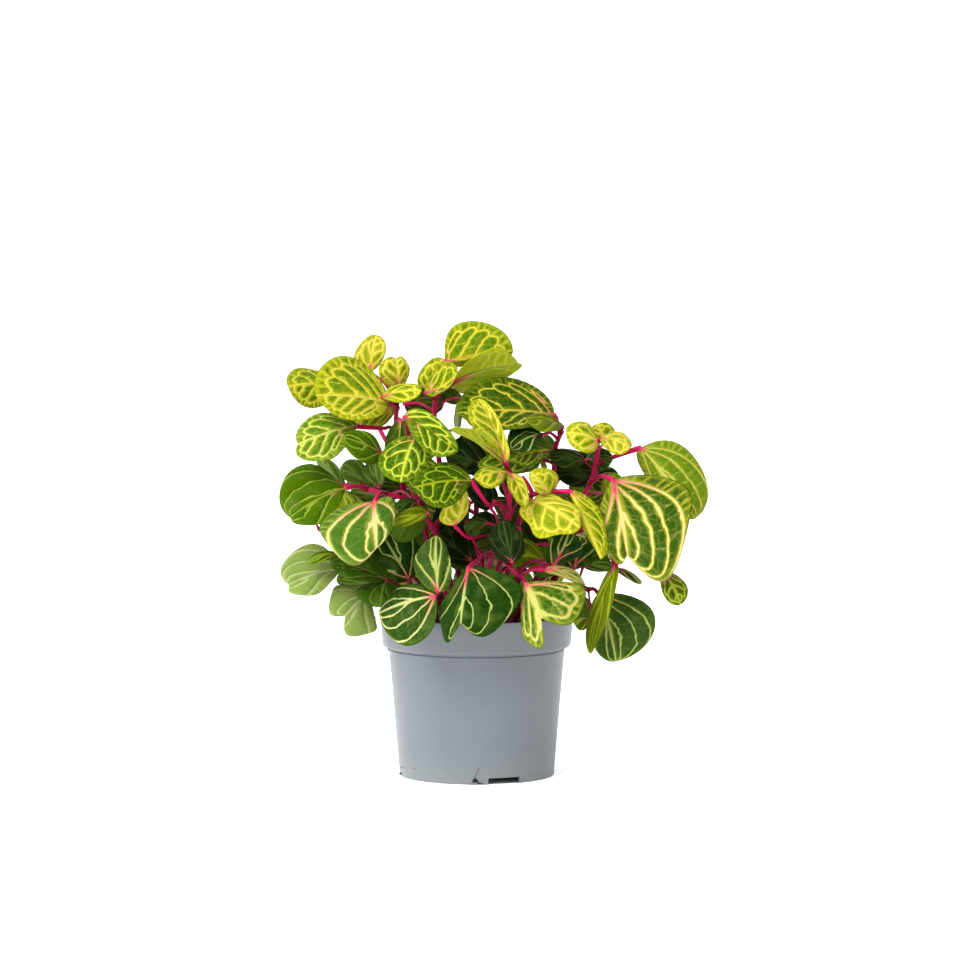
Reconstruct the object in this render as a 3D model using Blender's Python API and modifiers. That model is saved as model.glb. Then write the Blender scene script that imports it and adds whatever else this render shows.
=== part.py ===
"""A yellow-veined bloodleaf in a nursery pot, in metres with +Z up.

The pot stands on z = 0 round the Z axis. The leafy stems rise from holes in the soil. Leaves of the shown
side are set by hand in millimetres: each has four points, its base, its tip and its two widest places, as
(x, z, depth), where x and z are read in the upright plane through the pot's axis and depth carries the point
back along the line of sight. Leaves of the far side follow a seeded rule.
"""
import math
import random

import bmesh
import bpy
import numpy as np
from mathutils import Matrix, Vector

MM = 0.001
SEED = 11

# The pot: a 120 mm rim band over a tapered body, on a foot ring with three drainage slots.
POT_H, RIM_R, RIM_LOW_R, BAND_H = 100.0, 60.0, 58.4, 20.0
BODY_TOP_R, BASE_R, WALL = 54.6, 48.1, 1.4
FLOOR_RAISE, REST_R, FOOT_W = 4.6, 23.0, 2.4
SLOT_W, SLOT_H, SLOT_TURN = 21.0, 4.0, 21.0
DRAIN_R, DRAIN_AT, DRAIN_TURN = 3.6, 36.0, 30.0
POT_SIDES, SOIL_SIDES, HOLE_SIDES = 36, 24, 8

# The soil, and the stems' feet in its holes.
SOIL_TOP, SOIL_GAP, SOIL_DOME = 88.0, 0.35, 2.0
FOOT_Z, HOLE_GAP, COLLAR = 70.0, 0.5, 4.0

# Stems, leaf stalks and blades. Blades under SMALL long get the plainest grid, over LARGE the finest.
STEM_R, STEM_TIP_R, PETIOLE_R, BLADE = 2.1, 1.4, 1.0, 0.8
SMALL, LARGE = 26.0, 46.0
BOWED, BOW_RISE, CLIMB = 14.0, 0.12, 0.5

# The eye that the shown side is set out for, and how far its leaves stand before or behind the axis plane.
EYE = np.array([2.0, -2400.0, 346.0])
REACH = 1.3

# The drawn leaves: their clearance, how often each place is tried, how far forward they may stand, the bend
# of a far stem, and their pairs as (place along the stem, leaf length).
CLEAR, TRIES, FRONT = 4.8, 40, -24.0
BOW = np.array([0.32, 0.32, 0.55])
FAR_PAIRS = [(0.97, 28), (0.86, 42), (0.72, 54), (0.56, 60), (0.38, 58)]
LOW_PAIRS = [(0.62, 36), (0.42, 40)]


def leaf(base, tip, left, right, lobes=(0, 0), at=(None, None), arch=3.0, curl=2.0, via=None):
    """One hand-set leaf. Left and right are as seen from the base with the upper side towards the eye, lobes
    carry each half past the midrib's end, at sets the widest place along the midrib."""
    return {"base": base, "tip": tip, "left": left, "right": right, "lobes": lobes, "at": at,
            "arch": arch, "curl": curl, "via": via}


SHOWN = {
    "leafy_stem_upper_left": {
        "foot": (-16, 10),
        "route": [(-30, 130, 8), (-46, 180, 4), (-50, 214, -2), (-49, 230, -6)],
        "leaves": [
            leaf((-84, 240, 8), (-116.5, 241, -6), (-101, 227, -6), (-105, 251.5, 12)),
            leaf((-54, 230, -14), (-99.5, 235, -36), (-75, 219, -38), (-79, 258.5, -8)),
            leaf((-66, 250, 2), (-62, 272.5, 6), (-76, 257, 4), (-56, 262, 2)),
            leaf((-50, 237, 0), (-50, 258, -2), (-61, 250, -6), (-42, 251, 2), lobes=(0.1, 0.1)),
            leaf((-59, 234, -16), (-34, 238, -24), (-47, 242.5, -14), (-45, 231, -26), arch=2),
            leaf((-74, 216, -24), (-110.5, 205, -42), (-96, 193.5, -46), (-98, 223, -26), lobes=(0.15, 0),
                 via=(-58, 215, -14)),
        ],
    },
    "leafy_stem_top": {
        "foot": (-5, 14),
        "route": [(-14, 140, 8), (-24, 200, 6), (-26, 228, 0), (-24, 236, -2)],
        "leaves": [
            leaf((-27, 238, 6), (-21.5, 258.5, 10), (-36.5, 246, 8), (-12, 250, 8)),
            leaf((-32, 236.5, -8), (-11.5, 249, -20), (-22.5, 255, -8), (-20.5, 237.5, -22), arch=-3, curl=-3),
            leaf((-19.5, 256, 4), (22.5, 263, 0), (-6, 281, 8), (6, 254, 6)),
            leaf((-15, 243, -4), (25.5, 255, -6), (1, 238, 12), (8, 263, -16), lobes=(0.1, 0)),
        ],
    },
    "leafy_stem_left_front": {
        "foot": (-20, -12),
        "route": [(-30, 140, -16), (-38, 190, -20), (-42, 211, -26)],
        "leaves": [
            leaf((-38, 210, -38), (-47, 181.5, -53), (-29, 196, -46), (-60, 197, -41)),
            leaf((-45, 222, -36), (-12, 200, -50), (-34, 227.5, -38), (-28, 198, -56)),
            leaf((-59, 199.5, -30), (-82.5, 209.5, -50), (-71, 193.5, -46), (-69.5, 213, -42)),
        ],
    },
    "leafy_stem_centre": {
        "foot": (5, -18),
        "route": [(14, 130, -26), (20, 165, -36), (20, 188, -42)],
        "leaves": [
            leaf((18, 194, -46), (1, 233.5, -40), (-4, 218, -52), (16, 214, -44)),
            leaf((17, 194, -44), (-16, 214, -52), (-2, 215, -62), (0, 204, -44)),
            leaf((20, 187, -46), (-1, 183, -58), (10, 177.5, -60), (9, 191, -44)),
            leaf((20, 187, -50), (30, 166, -62), (30, 180, -56), (20, 176, -62)),
            leaf((-3, 182, -50), (-39.5, 178, -66), (-22, 165, -72), (-20, 193, -49), via=(7, 168, -42)),
            leaf((-14, 155, -50), (-8, 177, -54), (-23, 163, -58), (-6, 166, -50), via=(-5, 147, -42)),
            leaf((10, 170, -14), (30, 158, -14), (24, 170, -8), (18, 156, -18)),
            leaf((8, 156, -34), (-8, 153, -38), (0, 148, -40), (0, 159, -34)),
        ],
    },
    "leafy_stem_upper_right": {
        "foot": (12, 6),
        "route": [(30, 130, 10), (46, 175, 4), (48, 200, -4), (52, 212, -8)],
        "leaves": [
            leaf((48, 223, -4), (-12, 224, -22), (20, 213, -32), (18, 245.5, -2)),
            leaf((53, 216, -12), (30, 219, -30), (41, 212.5, -34), (42, 223, -16)),
            leaf((41, 211, -20), (21, 202, -34), (33, 201, -36), (28, 218, -18)),
            leaf((47, 201, -8), (20, 195, -30), (32, 191, -28), (34, 204, -14)),
        ],
    },
    "leafy_stem_right": {
        "foot": (20, -4),
        "route": [(42, 130, -2), (62, 165, -6), (72, 186, -8), (75, 204, -12)],
        "leaves": [
            leaf((75, 206, -14), (55, 212, -22), (65, 199.5, -24), (67, 218, -10)),
            leaf((76, 208.5, -14), (95, 202.5, -24), (83, 213.5, -10), (84, 199, -24)),
            leaf((67, 195, 0), (45, 197, -14), (56, 189.5, -12), (57, 202, -2)),
            leaf((67, 195, 0), (84, 195, -10), (76, 202, 0), (76, 189, -10)),
            leaf((72, 184, 6), (88, 184, 2), (80, 191, 8), (80, 179, 4)),
            leaf((101, 203, -10), (135, 159, -22), (135, 196, -6), (109, 178, -16), via=(84, 197, -8)),
            leaf((84, 183, -26), (93, 136, -52), (133, 172, -36), (76, 152, -44), lobes=(0.55, 0.15),
                 at=(0.5, None)),
            leaf((115, 125.5, -28), (126, 105.5, -34), (129, 118, -28), (115.5, 111, -34), via=(100, 145, -24)),
            leaf((85, 128, -30), (102, 118.5, -34), (95, 125, -30), (93, 121, -34), via=(80, 150, -22)),
            leaf((86, 130, -46), (70.5, 75, -60), (84.5, 106, -58), (71, 100, -52), via=(84, 146, -32)),
        ],
    },
    "leafy_stem_right_front": {
        "foot": (12, -24),
        "route": [(20, 130, -17), (27, 160, -31), (34, 174, -43), (28, 185, -46)],
        "leaves": [
            leaf((45, 173, -44), (33, 188, -54), (35, 178, -50), (49, 187, -46)),
            leaf((58, 176, -48), (77, 134, -54), (77.5, 160, -46), (64, 158, -46), via=(46, 176, -45)),
            leaf((32, 171, -46), (63, 154, -62), (56, 170, -48), (36, 149, -62)),
        ],
    },
    "leafy_stem_left": {
        "foot": (-10, -18),
        "route": [(-22, 140, -22), (-36, 166, -27), (-54, 174, -30), (-68, 177, -28)],
        "leaves": [
            leaf((-81, 178, -34), (-115.5, 163, -58), (-98.5, 154.5, -60), (-107.5, 193, -30), lobes=(0.12, 0)),
            leaf((-63, 170, -48), (-62, 140.5, -72), (-50, 164, -52), (-97.5, 152.5, -60), lobes=(0, 0.4),
                 at=(0.5, 0.5)),
            leaf((-30, 162, -40), (-52, 155, -48), (-40, 155, -46), (-40, 166, -42)),
            leaf((-66, 178, -16), (-85, 189, -20), (-77, 179, -22), (-74, 195, -12)),
            leaf((-60, 178.5, -14), (-65.5, 194.5, -10), (-69.5, 184, -16), (-57.5, 188.5, -14)),
            leaf((-36, 168, -30), (-50, 166, -34), (-43, 161, -36), (-43, 171.5, -28)),
        ],
    },
    "leafy_stem_lower_left": {
        "foot": (-26, -6),
        "route": [(-38, 108, -16), (-48, 117, -28), (-56, 121, -34)],
        "leaves": [
            leaf((-84, 127, -18), (-116.5, 118, -30), (-100, 111.5, -34), (-105.5, 142.5, -14), lobes=(0.1, 0.12)),
            leaf((-85, 136, -26), (-105, 131.5, -32), (-94, 132, -32), (-94, 138.5, -26)),
            leaf((-68, 111, -22), (-81.5, 98.5, -34), (-64, 88, -34), (-88, 116, -22), lobes=(0.5, 0.35)),
            leaf((-55, 120.5, -38), (-91, 131, -44), (-76, 120, -50), (-70, 138, -30)),
            leaf((-56, 120, -40), (-60, 104, -52), (-45, 112, -46), (-74.5, 114, -40)),
        ],
    },
    "leafy_stem_low_front": {
        "foot": (-14, -30),
        "route": [(-17, 106, -32), (-21, 116, -46), (-24, 113, -56)],
        "leaves": [
            leaf((-25, 111, -62), (-60.5, 100, -56), (-38, 80, -72), (-43, 117, -50), at=(0.5, None)),
            leaf((-24, 113, -62), (-25, 148, -46), (-38.5, 130, -50), (-15.5, 127, -56)),
        ],
    },
    "leafy_stem_low_middle": {
        "foot": (4, -34),
        "route": [(6, 118, -32), (9, 136, -42), (12, 138, -44), (26, 123, -50)],
        "leaves": [
            leaf((-5, 129, -66), (-10, 94, -76), (28.5, 111, -66), (-24, 95.5, -62), lobes=(0.32, 0.36),
                 at=(0.5, None), via=(0, 133, -54)),
            leaf((30, 119, -62), (40, 97, -78), (67.5, 114, -62), (29, 85.5, -68), lobes=(0.4, 0.45),
                 at=(0.5, 0.5)),
            leaf((42, 127, -50), (67, 117, -46), (57, 127.5, -44), (54, 121, -54)),
            leaf((47, 129, -36), (57, 151, -34), (44, 142, -34), (66, 141, -30)),
            leaf((60, 127, -26), (64, 148, -22), (53, 138, -24), (73, 138, -22)),
            leaf((42, 132, -30), (19, 136, -36), (30, 128, -40), (30, 146, -26)),
            leaf((14, 140, -20), (0, 143, -26), (6, 138.5, -26), (7, 146, -20)),
        ],
    },
    "leafy_stem_low_right": {
        "foot": (24, -16),
        "route": [(44, 112, -12), (60, 118, -20), (69, 115, -28)],
        "leaves": [
            leaf((66, 130, -20), (84, 128, -16), (74, 138, -18), (74, 126, -20)),
            leaf((76, 112, -38), (86, 70, -50), (110, 97, -36), (70, 86, -46), at=(0.5, None)),
            leaf((71, 95, -36), (60, 94, -40), (66, 89, -42), (64, 97, -34)),
        ],
    },
}

FAR = {
    "leafy_stem_far_top": {"foot": (-2, 28), "top": (4, 52, 232)},
    "leafy_stem_far_upper_left": {"foot": (-20, 26), "top": (-62, 58, 212)},
    "leafy_stem_far_upper_right": {"foot": (20, 24), "top": (62, 56, 196)},
    "leafy_stem_far_left": {"foot": (-32, 14), "top": (-92, 34, 168)},
    "leafy_stem_far_right": {"foot": (34, 12), "top": (98, 38, 158)},
    "leafy_stem_far_middle": {"foot": (2, 38), "top": (6, 98, 160)},
    "leafy_stem_far_low_left": {"foot": (-24, 36), "top": (-52, 92, 124)},
    "leafy_stem_far_low_right": {"foot": (24, 36), "top": (54, 90, 122)},
    "leafy_stem_side_left": {"foot": (-36, 1), "top": (-98, 6, 152)},
    "leafy_stem_side_right": {"foot": (36, 0), "top": (104, 8, 172)},
}
COVER = [(-92, 226), (-98, 242), (-84, 254), (-62, 262), (-44, 254), (-40, 240), (-28, 254), (-16, 268),
         (-6, 277), (8, 274), (20, 264), (24, 250), (36, 236), (46, 222), (52, 214), (72, 210), (84, 204),
         (84, 188), (104, 183), (128, 178), (130, 160), (122, 138), (112, 128), (96, 138), (84, 132),
         (64, 132), (56, 118), (58, 98), (56, 60), (50, 20), (-50, 20), (-56, 60), (-58, 110), (-86, 130),
         (-94, 150), (-116, 160), (-116, 184), (-100, 190), (-72, 190), (-60, 196), (-44, 206), (-44, 222),
         (-60, 228)]
GAPS = [(-20, 221, 12), (50, 205, 7), (57, 184, 7), (13, 176, 6), (31, 174, 3), (4, 167, 4),
        (-53, 177, 4), (-67, 173, 4), (-17, 138, 5)]


def seen(x, z, depth):
    """The point that shows at x, z of the axis plane, pushed back along the line of sight."""
    at = np.array([x, 0.0, z])
    ray = at - EYE
    return at + ray * (depth * REACH / ray[1])


def shown_at(points):
    """Where points show in the axis plane, as x and z."""
    at = EYE + (points - EYE) * (-EYE[1] / (points[:, 1] - EYE[1]))[:, None]
    return at[:, 0], at[:, 2]


def placed(row):
    """A hand-set leaf with its four points in space."""
    spots = {name: seen(*row[name]) for name in ("base", "tip", "left", "right")}
    via = None if row["via"] is None else seen(*row["via"])
    return {**row, **spots, "via": via}


def blade_points(row, a, b):
    """The blade's points for a along and b across a disc of radius 1: along the midrib from base to tip with
    the widest place where the row has it, across by each half's own vector, arched along, curled at the
    edges, and drawn past the midrib's end into lobes."""
    base, tip = row["base"], row["tip"]
    along = tip - base
    length = np.linalg.norm(along)
    halves, places = [], []
    for k, name in enumerate(("left", "right")):
        out = row[name] - base
        place = row["at"][k] if row["at"][k] is not None else out @ along / length**2
        halves.append(out - along * place)
        places.append(min(max(place, 0.3), 0.7))
    upper = np.cross(halves[1] - halves[0], along)
    upper /= np.linalg.norm(upper)
    is_left, r = b < 0, np.abs(b)
    p = np.clip((a + 1) / 2, 0, 1) ** (np.log(np.where(is_left, *places)) / np.log(0.5))
    lift = 4 * row["arch"] * p * (1 - p) - row["curl"] * r**2
    p = p + np.where(is_left, *row["lobes"]) * np.sin(np.pi * r) * p**2
    half = np.where(is_left[..., None], halves[0], halves[1])
    return base + along * p[..., None] + half * r[..., None] + upper * lift[..., None]


def disc(u, v):
    """A square's points laid on the disc that fills it, so that a plain grid has a round edge."""
    return u * np.sqrt(1 - v * v / 2), v * np.sqrt(1 - u * u / 2)


def blade_samples(row, cells=10):
    """Evenly spread points of a blade, for the tests of clearance."""
    u, v = np.meshgrid(*[np.linspace(-1, 1, cells + 1)] * 2, indexing="ij")
    return blade_points(row, *disc(u, v)).reshape(-1, 3)


def smooth(points, steps=5):
    """A Catmull-Rom line through points."""
    p = np.array([2 * points[0] - points[1], *points, 2 * points[-1] - points[-2]])
    t = np.linspace(0, 1, steps, endpoint=False)[:, None]
    rows = []
    for k in range(1, len(p) - 2):
        a, b, c, d = p[k - 1:k + 3]
        rows.append(0.5 * (2 * b + (c - a) * t + (2 * a - 5 * b + 4 * c - d) * t**2
                           + (3 * b - a - 3 * c + d) * t**3))
    return np.vstack([*rows, p[-2:-1]])


def stem_line(foot, points):
    """A stem's middle line: upright through the soil, then by way of the points."""
    x, y = foot
    foot_points = [np.array([x, y, z]) for z in (FOOT_Z, SOIL_TOP + COLLAR)]
    return np.vstack([foot_points[:1], smooth([foot_points[1], *points], 2)])


def cells(row):
    """The grid of a blade, as cells along and across; both even, so that the midrib is one of its lines."""
    size = np.linalg.norm(row["tip"] - row["base"])
    return (2, 2) if size < SMALL else (4, 2) if size < LARGE or "drawn" in row else (4, 4)


def petiole_line(stem, row):
    """A leaf stalk from the stem to the blade, bowed upwards, then on in the blade along its first cell."""
    base = row["base"]
    end = blade_points(row, np.array([2 / cells(row)[0] - 1]), np.array([0.0]))[0]
    aim = base if row["via"] is None else row["via"]
    high = np.vstack([a + (b - a) * np.linspace(0, 1, 9)[:, None] for a, b in zip(stem[2:], stem[3:])])
    cost = np.linalg.norm(high - aim, axis=1) + CLIMB * np.maximum(0, high[:, 2] - aim[2] + COLLAR)
    start = high[np.argmin(cost)]
    span = np.linalg.norm(aim - start)
    bow = [(start + aim) / 2 + np.array([0, 0, BOW_RISE * span])] if span > BOWED else []
    return np.vstack([start, *bow, aim, *([] if row["via"] is None else [base]), end])


def inside(x, z, corners):
    """Whether x, z lie inside a closed outline, by the count of edges crossed."""
    odd = np.zeros(len(x), bool)
    for (x0, z0), (x1, z1) in zip(corners, corners[1:] + corners[:1]):
        cuts = (z0 > z) != (z1 > z)
        odd ^= cuts & (x < x0 + (z - z0) * (x1 - x0) / ((z1 - z0) or 1e-9))
    return odd


def hidden(points):
    """Whether points stay behind the shown leaves and the pot, and out of the gaps among them."""
    x, z = shown_at(points)
    free = all(np.all((x - gx) ** 2 + (z - gz) ** 2 > r * r) for gx, gz, r in GAPS)
    return free and bool(np.all(inside(x, z, COVER)))


def clear_of(points, others, gap):
    """Whether no point lies within gap of the others."""
    if not len(others):
        return True
    near = others[np.all((others > points.min(0) - gap) & (others < points.max(0) + gap), axis=1)]
    if not len(near):
        return True
    return bool(np.min(np.linalg.norm(points[:, None] - near[None], axis=2)) > gap)


def off_pot(points):
    """Whether points keep clear of the pot and the soil, and don't hang down before the pot."""
    around = np.hypot(points[:, 0], points[:, 1])
    near = (around < RIM_R + 2.5) | (points[:, 1] < 0)
    return not bool(np.any((points[:, 2] < POT_H + 2) & near) or np.mean(points[:, 1]) < FRONT)


def drawn_leaf(rng, start, tangent, turn, size, effort):
    """One leaf of the far side: turn is its place round the stem. More effort strays further and shrinks."""
    turn += rng.uniform(-0.3, 0.3) * (1 + effort)
    side = np.cross(tangent, [0, 0, 1.0])
    side = side / np.linalg.norm(side) if np.linalg.norm(side) > 0.1 else np.array([1.0, 0, 0])
    out = math.cos(turn) * side + math.sin(turn) * np.cross(side, tangent)
    outward = np.array([start[0], start[1], 0.0])
    outward /= max(np.linalg.norm(outward), 1.0)
    rise = rng.uniform(-0.45, 0.5)
    heading = out + 0.7 * outward + np.array([0, 0, rise])
    heading /= np.linalg.norm(heading)
    length = size * rng.uniform(0.9, 1.08) * (1 - 0.35 * effort)
    stalk = rng.uniform(0.24, 0.42) * length
    base = start + (heading + np.array([0, 0, 0.35])) * stalk
    droop = heading - np.array([0, 0, rng.uniform(0.15, 0.6)])
    droop /= np.linalg.norm(droop)
    up = np.array([0, 0, 1.0]) + 0.5 * outward + np.array([rng.uniform(-0.3, 0.3), rng.uniform(-0.3, 0.3), 0])
    up -= droop * (up @ droop)
    across = np.cross(droop, up / np.linalg.norm(up))
    wide = length * rng.uniform(0.38, 0.46)
    fold = up / np.linalg.norm(up) * wide * rng.uniform(0.0, 0.3)
    middle = base + droop * length * 0.48
    return {"base": base, "tip": base + droop * length, "left": middle - across * wide + fold,
            "right": middle + across * wide + fold, "lobes": (rng.uniform(0, 0.2), rng.uniform(0, 0.2)),
            "at": (None, None), "arch": 0.07 * length, "curl": 0.06 * length, "via": None, "drawn": True}


def far_leaves(rng, name, places, stems, bodies, blades):
    """Opposite pairs along a stem, each pair a quarter turn on, kept clear of every other leaf and stem."""
    line = stems[name]["line"]
    others = np.vstack([points for other, points in bodies.items() if other != name])
    for k, (place, size) in enumerate(places):
        at = int(round(place * (len(line) - 1)))
        tangent = line[min(at + 1, len(line) - 1)] - line[at - 1]
        tangent /= np.linalg.norm(tangent)
        for half in (0, math.pi):
            for attempt in range(TRIES):
                row = drawn_leaf(rng, line[at], tangent, k * math.pi / 2 + half, size, attempt / TRIES)
                spread = blade_samples(row)
                body = np.vstack([spread, smooth(list(petiole_line(line, row)), 6)])
                if (off_pot(body) and hidden(body) and clear_of(body, others, CLEAR)
                        and clear_of(spread, blades[name], CLEAR)):
                    bodies[name] = np.vstack([bodies[name], body])
                    blades[name] = np.vstack([blades[name], spread])
                    stems[name]["leaves"].append(row)
                    break


def plan():
    """Every leafy stem as its middle line and its leaves: the hand-set ones, then the drawn ones."""
    rng = random.Random(SEED)
    stems, bodies, blades = {}, {}, {}
    for name, made in SHOWN.items():
        line = stem_line(made["foot"], [seen(*p) for p in made["route"]])
        stems[name] = {"line": line, "leaves": [placed(row) for row in made["leaves"]]}
    for name, made in FAR.items():
        low, top = np.array([*made["foot"], SOIL_TOP + COLLAR]), np.array(made["top"], float)
        stems[name] = {"line": stem_line(made["foot"], [low + (top - low) * BOW, top]), "leaves": []}
    for name, made in stems.items():
        own = [blade_samples(row) for row in made["leaves"]]
        stalks = [smooth(list(petiole_line(made["line"], row)), 6) for row in made["leaves"]]
        blades[name] = np.vstack([np.full((1, 3), 9999.0), *own])
        bodies[name] = np.vstack([smooth(list(made["line"]), 4), *own, *stalks])
    for name in FAR:
        far_leaves(rng, name, FAR_PAIRS, stems, bodies, blades)
    for name in SHOWN:
        far_leaves(rng, name, LOW_PAIRS, stems, bodies, blades)
    return stems


def material(name, colour, roughness):
    """A plain Principled material."""
    made = bpy.data.materials.new(name)
    made.use_nodes = True
    shader = made.node_tree.nodes["Principled BSDF"]
    shader.inputs["Base Color"].default_value = (*colour, 1)
    shader.inputs["Roughness"].default_value = roughness
    made.diffuse_color = (*colour, 1)
    return made


def add(name, mesh, group):
    """A new object in a collection."""
    made = bpy.data.objects.new(name, mesh)
    group.objects.link(made)
    return made


def applied(obj):
    """The object's mesh with its modifiers applied; the modifiers are then dropped."""
    bpy.context.view_layer.update()
    mesh = bpy.data.meshes.new_from_object(obj.evaluated_get(bpy.context.evaluated_depsgraph_get()))
    obj.modifiers.clear()
    obj.data = mesh
    return obj


def tube(name, points, radii, sides, group):
    """A round stalk along points with a radius at each, closed at both ends; more sides make it rounder."""
    curve = bpy.data.curves.new(name, "CURVE")
    curve.dimensions, curve.fill_mode, curve.use_fill_caps = "3D", "FULL", True
    curve.bevel_depth, curve.bevel_resolution = MM, sides
    line = curve.splines.new("POLY")
    line.points.add(len(points) - 1)
    for spot, at, radius in zip(line.points, points, radii):
        spot.co = (*(at * MM), 1)
        spot.radius = radius
    drawn = add(name + "_line", curve, group)
    bpy.context.view_layer.update()
    mesh = bpy.data.meshes.new_from_object(drawn.evaluated_get(bpy.context.evaluated_depsgraph_get()))
    form = bmesh.new()
    form.from_mesh(mesh)
    bmesh.ops.remove_doubles(form, verts=form.verts, dist=0.00001)
    bmesh.ops.recalc_face_normals(form, faces=form.faces)
    form.to_mesh(mesh)
    form.free()
    made = add(name, mesh, group)
    made.matrix_world = drawn.matrix_world.copy()
    bpy.data.objects.remove(drawn)
    return made


def blade(name, row, group):
    """A waved blade: a plain grid moved onto the leaf's form, split into triangles and made thick."""
    along, across = cells(row)
    form = bmesh.new()
    bmesh.ops.create_grid(form, x_segments=along, y_segments=across, size=1.0)
    flat = np.array([vert.co[:2] for vert in form.verts])
    for vert, at in zip(form.verts, blade_points(row, *disc(flat[:, 0], flat[:, 1]))):
        vert.co = at * MM
    bmesh.ops.triangulate(form, faces=form.faces[:])
    mesh = bpy.data.meshes.new(name)
    form.to_mesh(mesh)
    form.free()
    made = add(name, mesh, group)
    thick = made.modifiers.new("blade", "SOLIDIFY")
    thick.thickness, thick.offset = BLADE * MM, 0
    return applied(made)


def largest(mesh):
    """Leaves only the largest of a mesh's separate bodies, faces that meet along edges being one body."""
    form = bmesh.new()
    form.from_mesh(mesh)
    left, best = set(form.faces), []
    while left:
        first = left.pop()
        body, rim = [first], [first]
        while rim:
            near = {face for edge in rim.pop().edges for face in edge.link_faces} & left
            left -= near
            body += near
            rim += near
        best = max(best, body, key=len)
    keep = set(best)
    bmesh.ops.delete(form, geom=[face for face in form.faces if face not in keep], context="FACES")
    form.to_mesh(mesh)
    form.free()


def leafy_stem(name, made, parts):
    """One stem with its leaf stalks and blades fused into a single body."""
    pieces = bpy.data.collections.new(name + "_pieces")
    bpy.context.scene.collection.children.link(pieces)
    line = made["line"]
    up = np.clip((line[:, 2] - SOIL_TOP) / max(line[-1, 2] - SOIL_TOP, 1), 0, 1)
    whole = tube(name, line, STEM_R + (STEM_TIP_R - STEM_R) * up, 1, parts)
    for k, row in enumerate(made["leaves"]):
        stalk = petiole_line(line, row)
        tube(f"{name}_stalk_{k}", stalk, [PETIOLE_R] * (len(stalk) - 1) + [BLADE / 3], 0, pieces)
        blade(f"{name}_blade_{k}", row, pieces)
    fuse = whole.modifiers.new("leaves", "BOOLEAN")
    fuse.operation, fuse.operand_type, fuse.solver = "UNION", "COLLECTION", "MANIFOLD"
    fuse.collection = pieces
    applied(whole)
    for piece in list(pieces.objects):
        bpy.data.objects.remove(piece)
    bpy.data.collections.remove(pieces)
    largest(whole.data)
    whole.data.materials.clear()
    whole.data.materials.append(material(name + "_green", (0.16, 0.3, 0.04), 0.5))


def turned(name, profile, group, steps):
    """A round body turned from a profile of (radius, height) that starts and ends on the axis."""
    mesh = bpy.data.meshes.new(name)
    mesh.from_pydata([(r * MM, 0, z * MM) for r, z in profile],
                     [(k, k + 1) for k in range(len(profile) - 1)], [])
    made = add(name, mesh, group)
    spin = made.modifiers.new("turn", "SCREW")
    spin.steps = spin.render_steps = steps
    spin.use_merge_vertices, spin.merge_threshold = True, 0.00001
    spin.use_smooth_shade = True
    return made


def cutter(name, make, at, turn, group, **size):
    """A plain solid used to cut, never shown."""
    form = bmesh.new()
    make(form, **size)
    bmesh.ops.translate(form, verts=form.verts, vec=Vector(at) * MM)
    bmesh.ops.rotate(form, verts=form.verts, cent=(0, 0, 0), matrix=Matrix.Rotation(turn, 3, "Z"))
    mesh = bpy.data.meshes.new(name)
    form.to_mesh(mesh)
    form.free()
    made = add(name, mesh, group)
    made.hide_render, made.display_type = True, "WIRE"
    return made


def rod(form, radius, height):
    """An upright round rod standing on the origin, sizes in millimetres."""
    made = bmesh.ops.create_cone(form, cap_ends=True, segments=HOLE_SIDES, radius1=radius * MM,
                                 radius2=radius * MM, depth=height * MM)
    bmesh.ops.translate(form, verts=made["verts"], vec=(0, 0, height * MM / 2))


def box(form, x, y, z):
    """A box centred on the origin, sizes in millimetres."""
    made = bmesh.ops.create_cube(form, size=MM)
    bmesh.ops.scale(form, verts=made["verts"], vec=(x, y, z))


def cut(obj, group):
    """Takes a collection of cutters out of an object."""
    away = obj.modifiers.new("holes", "BOOLEAN")
    away.operation, away.operand_type, away.solver = "DIFFERENCE", "COLLECTION", "EXACT"
    away.collection = group


def cutters(name):
    """A collection that holds cutters."""
    made = bpy.data.collections.new(name)
    bpy.context.scene.collection.children.link(made)
    return made


def pot(parts):
    """The grey pot: a stepped band at the rim, a raised floor with drain holes, a centre that rests."""
    low, shoulder, floor = POT_H - BAND_H, POT_H - BAND_H + WALL, FLOOR_RAISE + WALL
    inner = BASE_R - WALL + 0.4
    profile = [(0, WALL), (REST_R - WALL, WALL), (REST_R - WALL + 1, floor), (inner, floor),
               (BODY_TOP_R - WALL, shoulder), (RIM_LOW_R - WALL, shoulder), (RIM_R - WALL, POT_H),
               (RIM_R - 0.5, POT_H), (RIM_R, POT_H - 0.5), (RIM_LOW_R, low + 0.8), (RIM_LOW_R - 0.7, low),
               (BODY_TOP_R, low), (BASE_R, 1.2), (BASE_R - 0.8, 0), (BASE_R - FOOT_W, 0),
               (BASE_R - FOOT_W, FLOOR_RAISE), (REST_R + 1, FLOOR_RAISE), (REST_R, 0), (0, 0)]
    made = turned("pot", profile, parts, POT_SIDES)
    made.data.materials.append(material("grey_pot_plastic", (0.33, 0.37, 0.4), 0.45))
    holes = cutters("pot_cutters")
    for k in range(3):
        turn = math.radians(SLOT_TURN - 90 + 120 * k)
        cutter(f"slot_{k}", box, (BASE_R, 0, SLOT_H / 2 - 1), turn, holes, x=10, y=SLOT_W, z=SLOT_H + 2)
        for side in (-1, 1):
            cutter(f"drain_{k}_{side}", rod, (DRAIN_AT, 0, 0), turn + side * math.radians(DRAIN_TURN), holes,
                   radius=DRAIN_R, height=FLOOR_RAISE + 2 * WALL)
    cut(made, holes)


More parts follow.
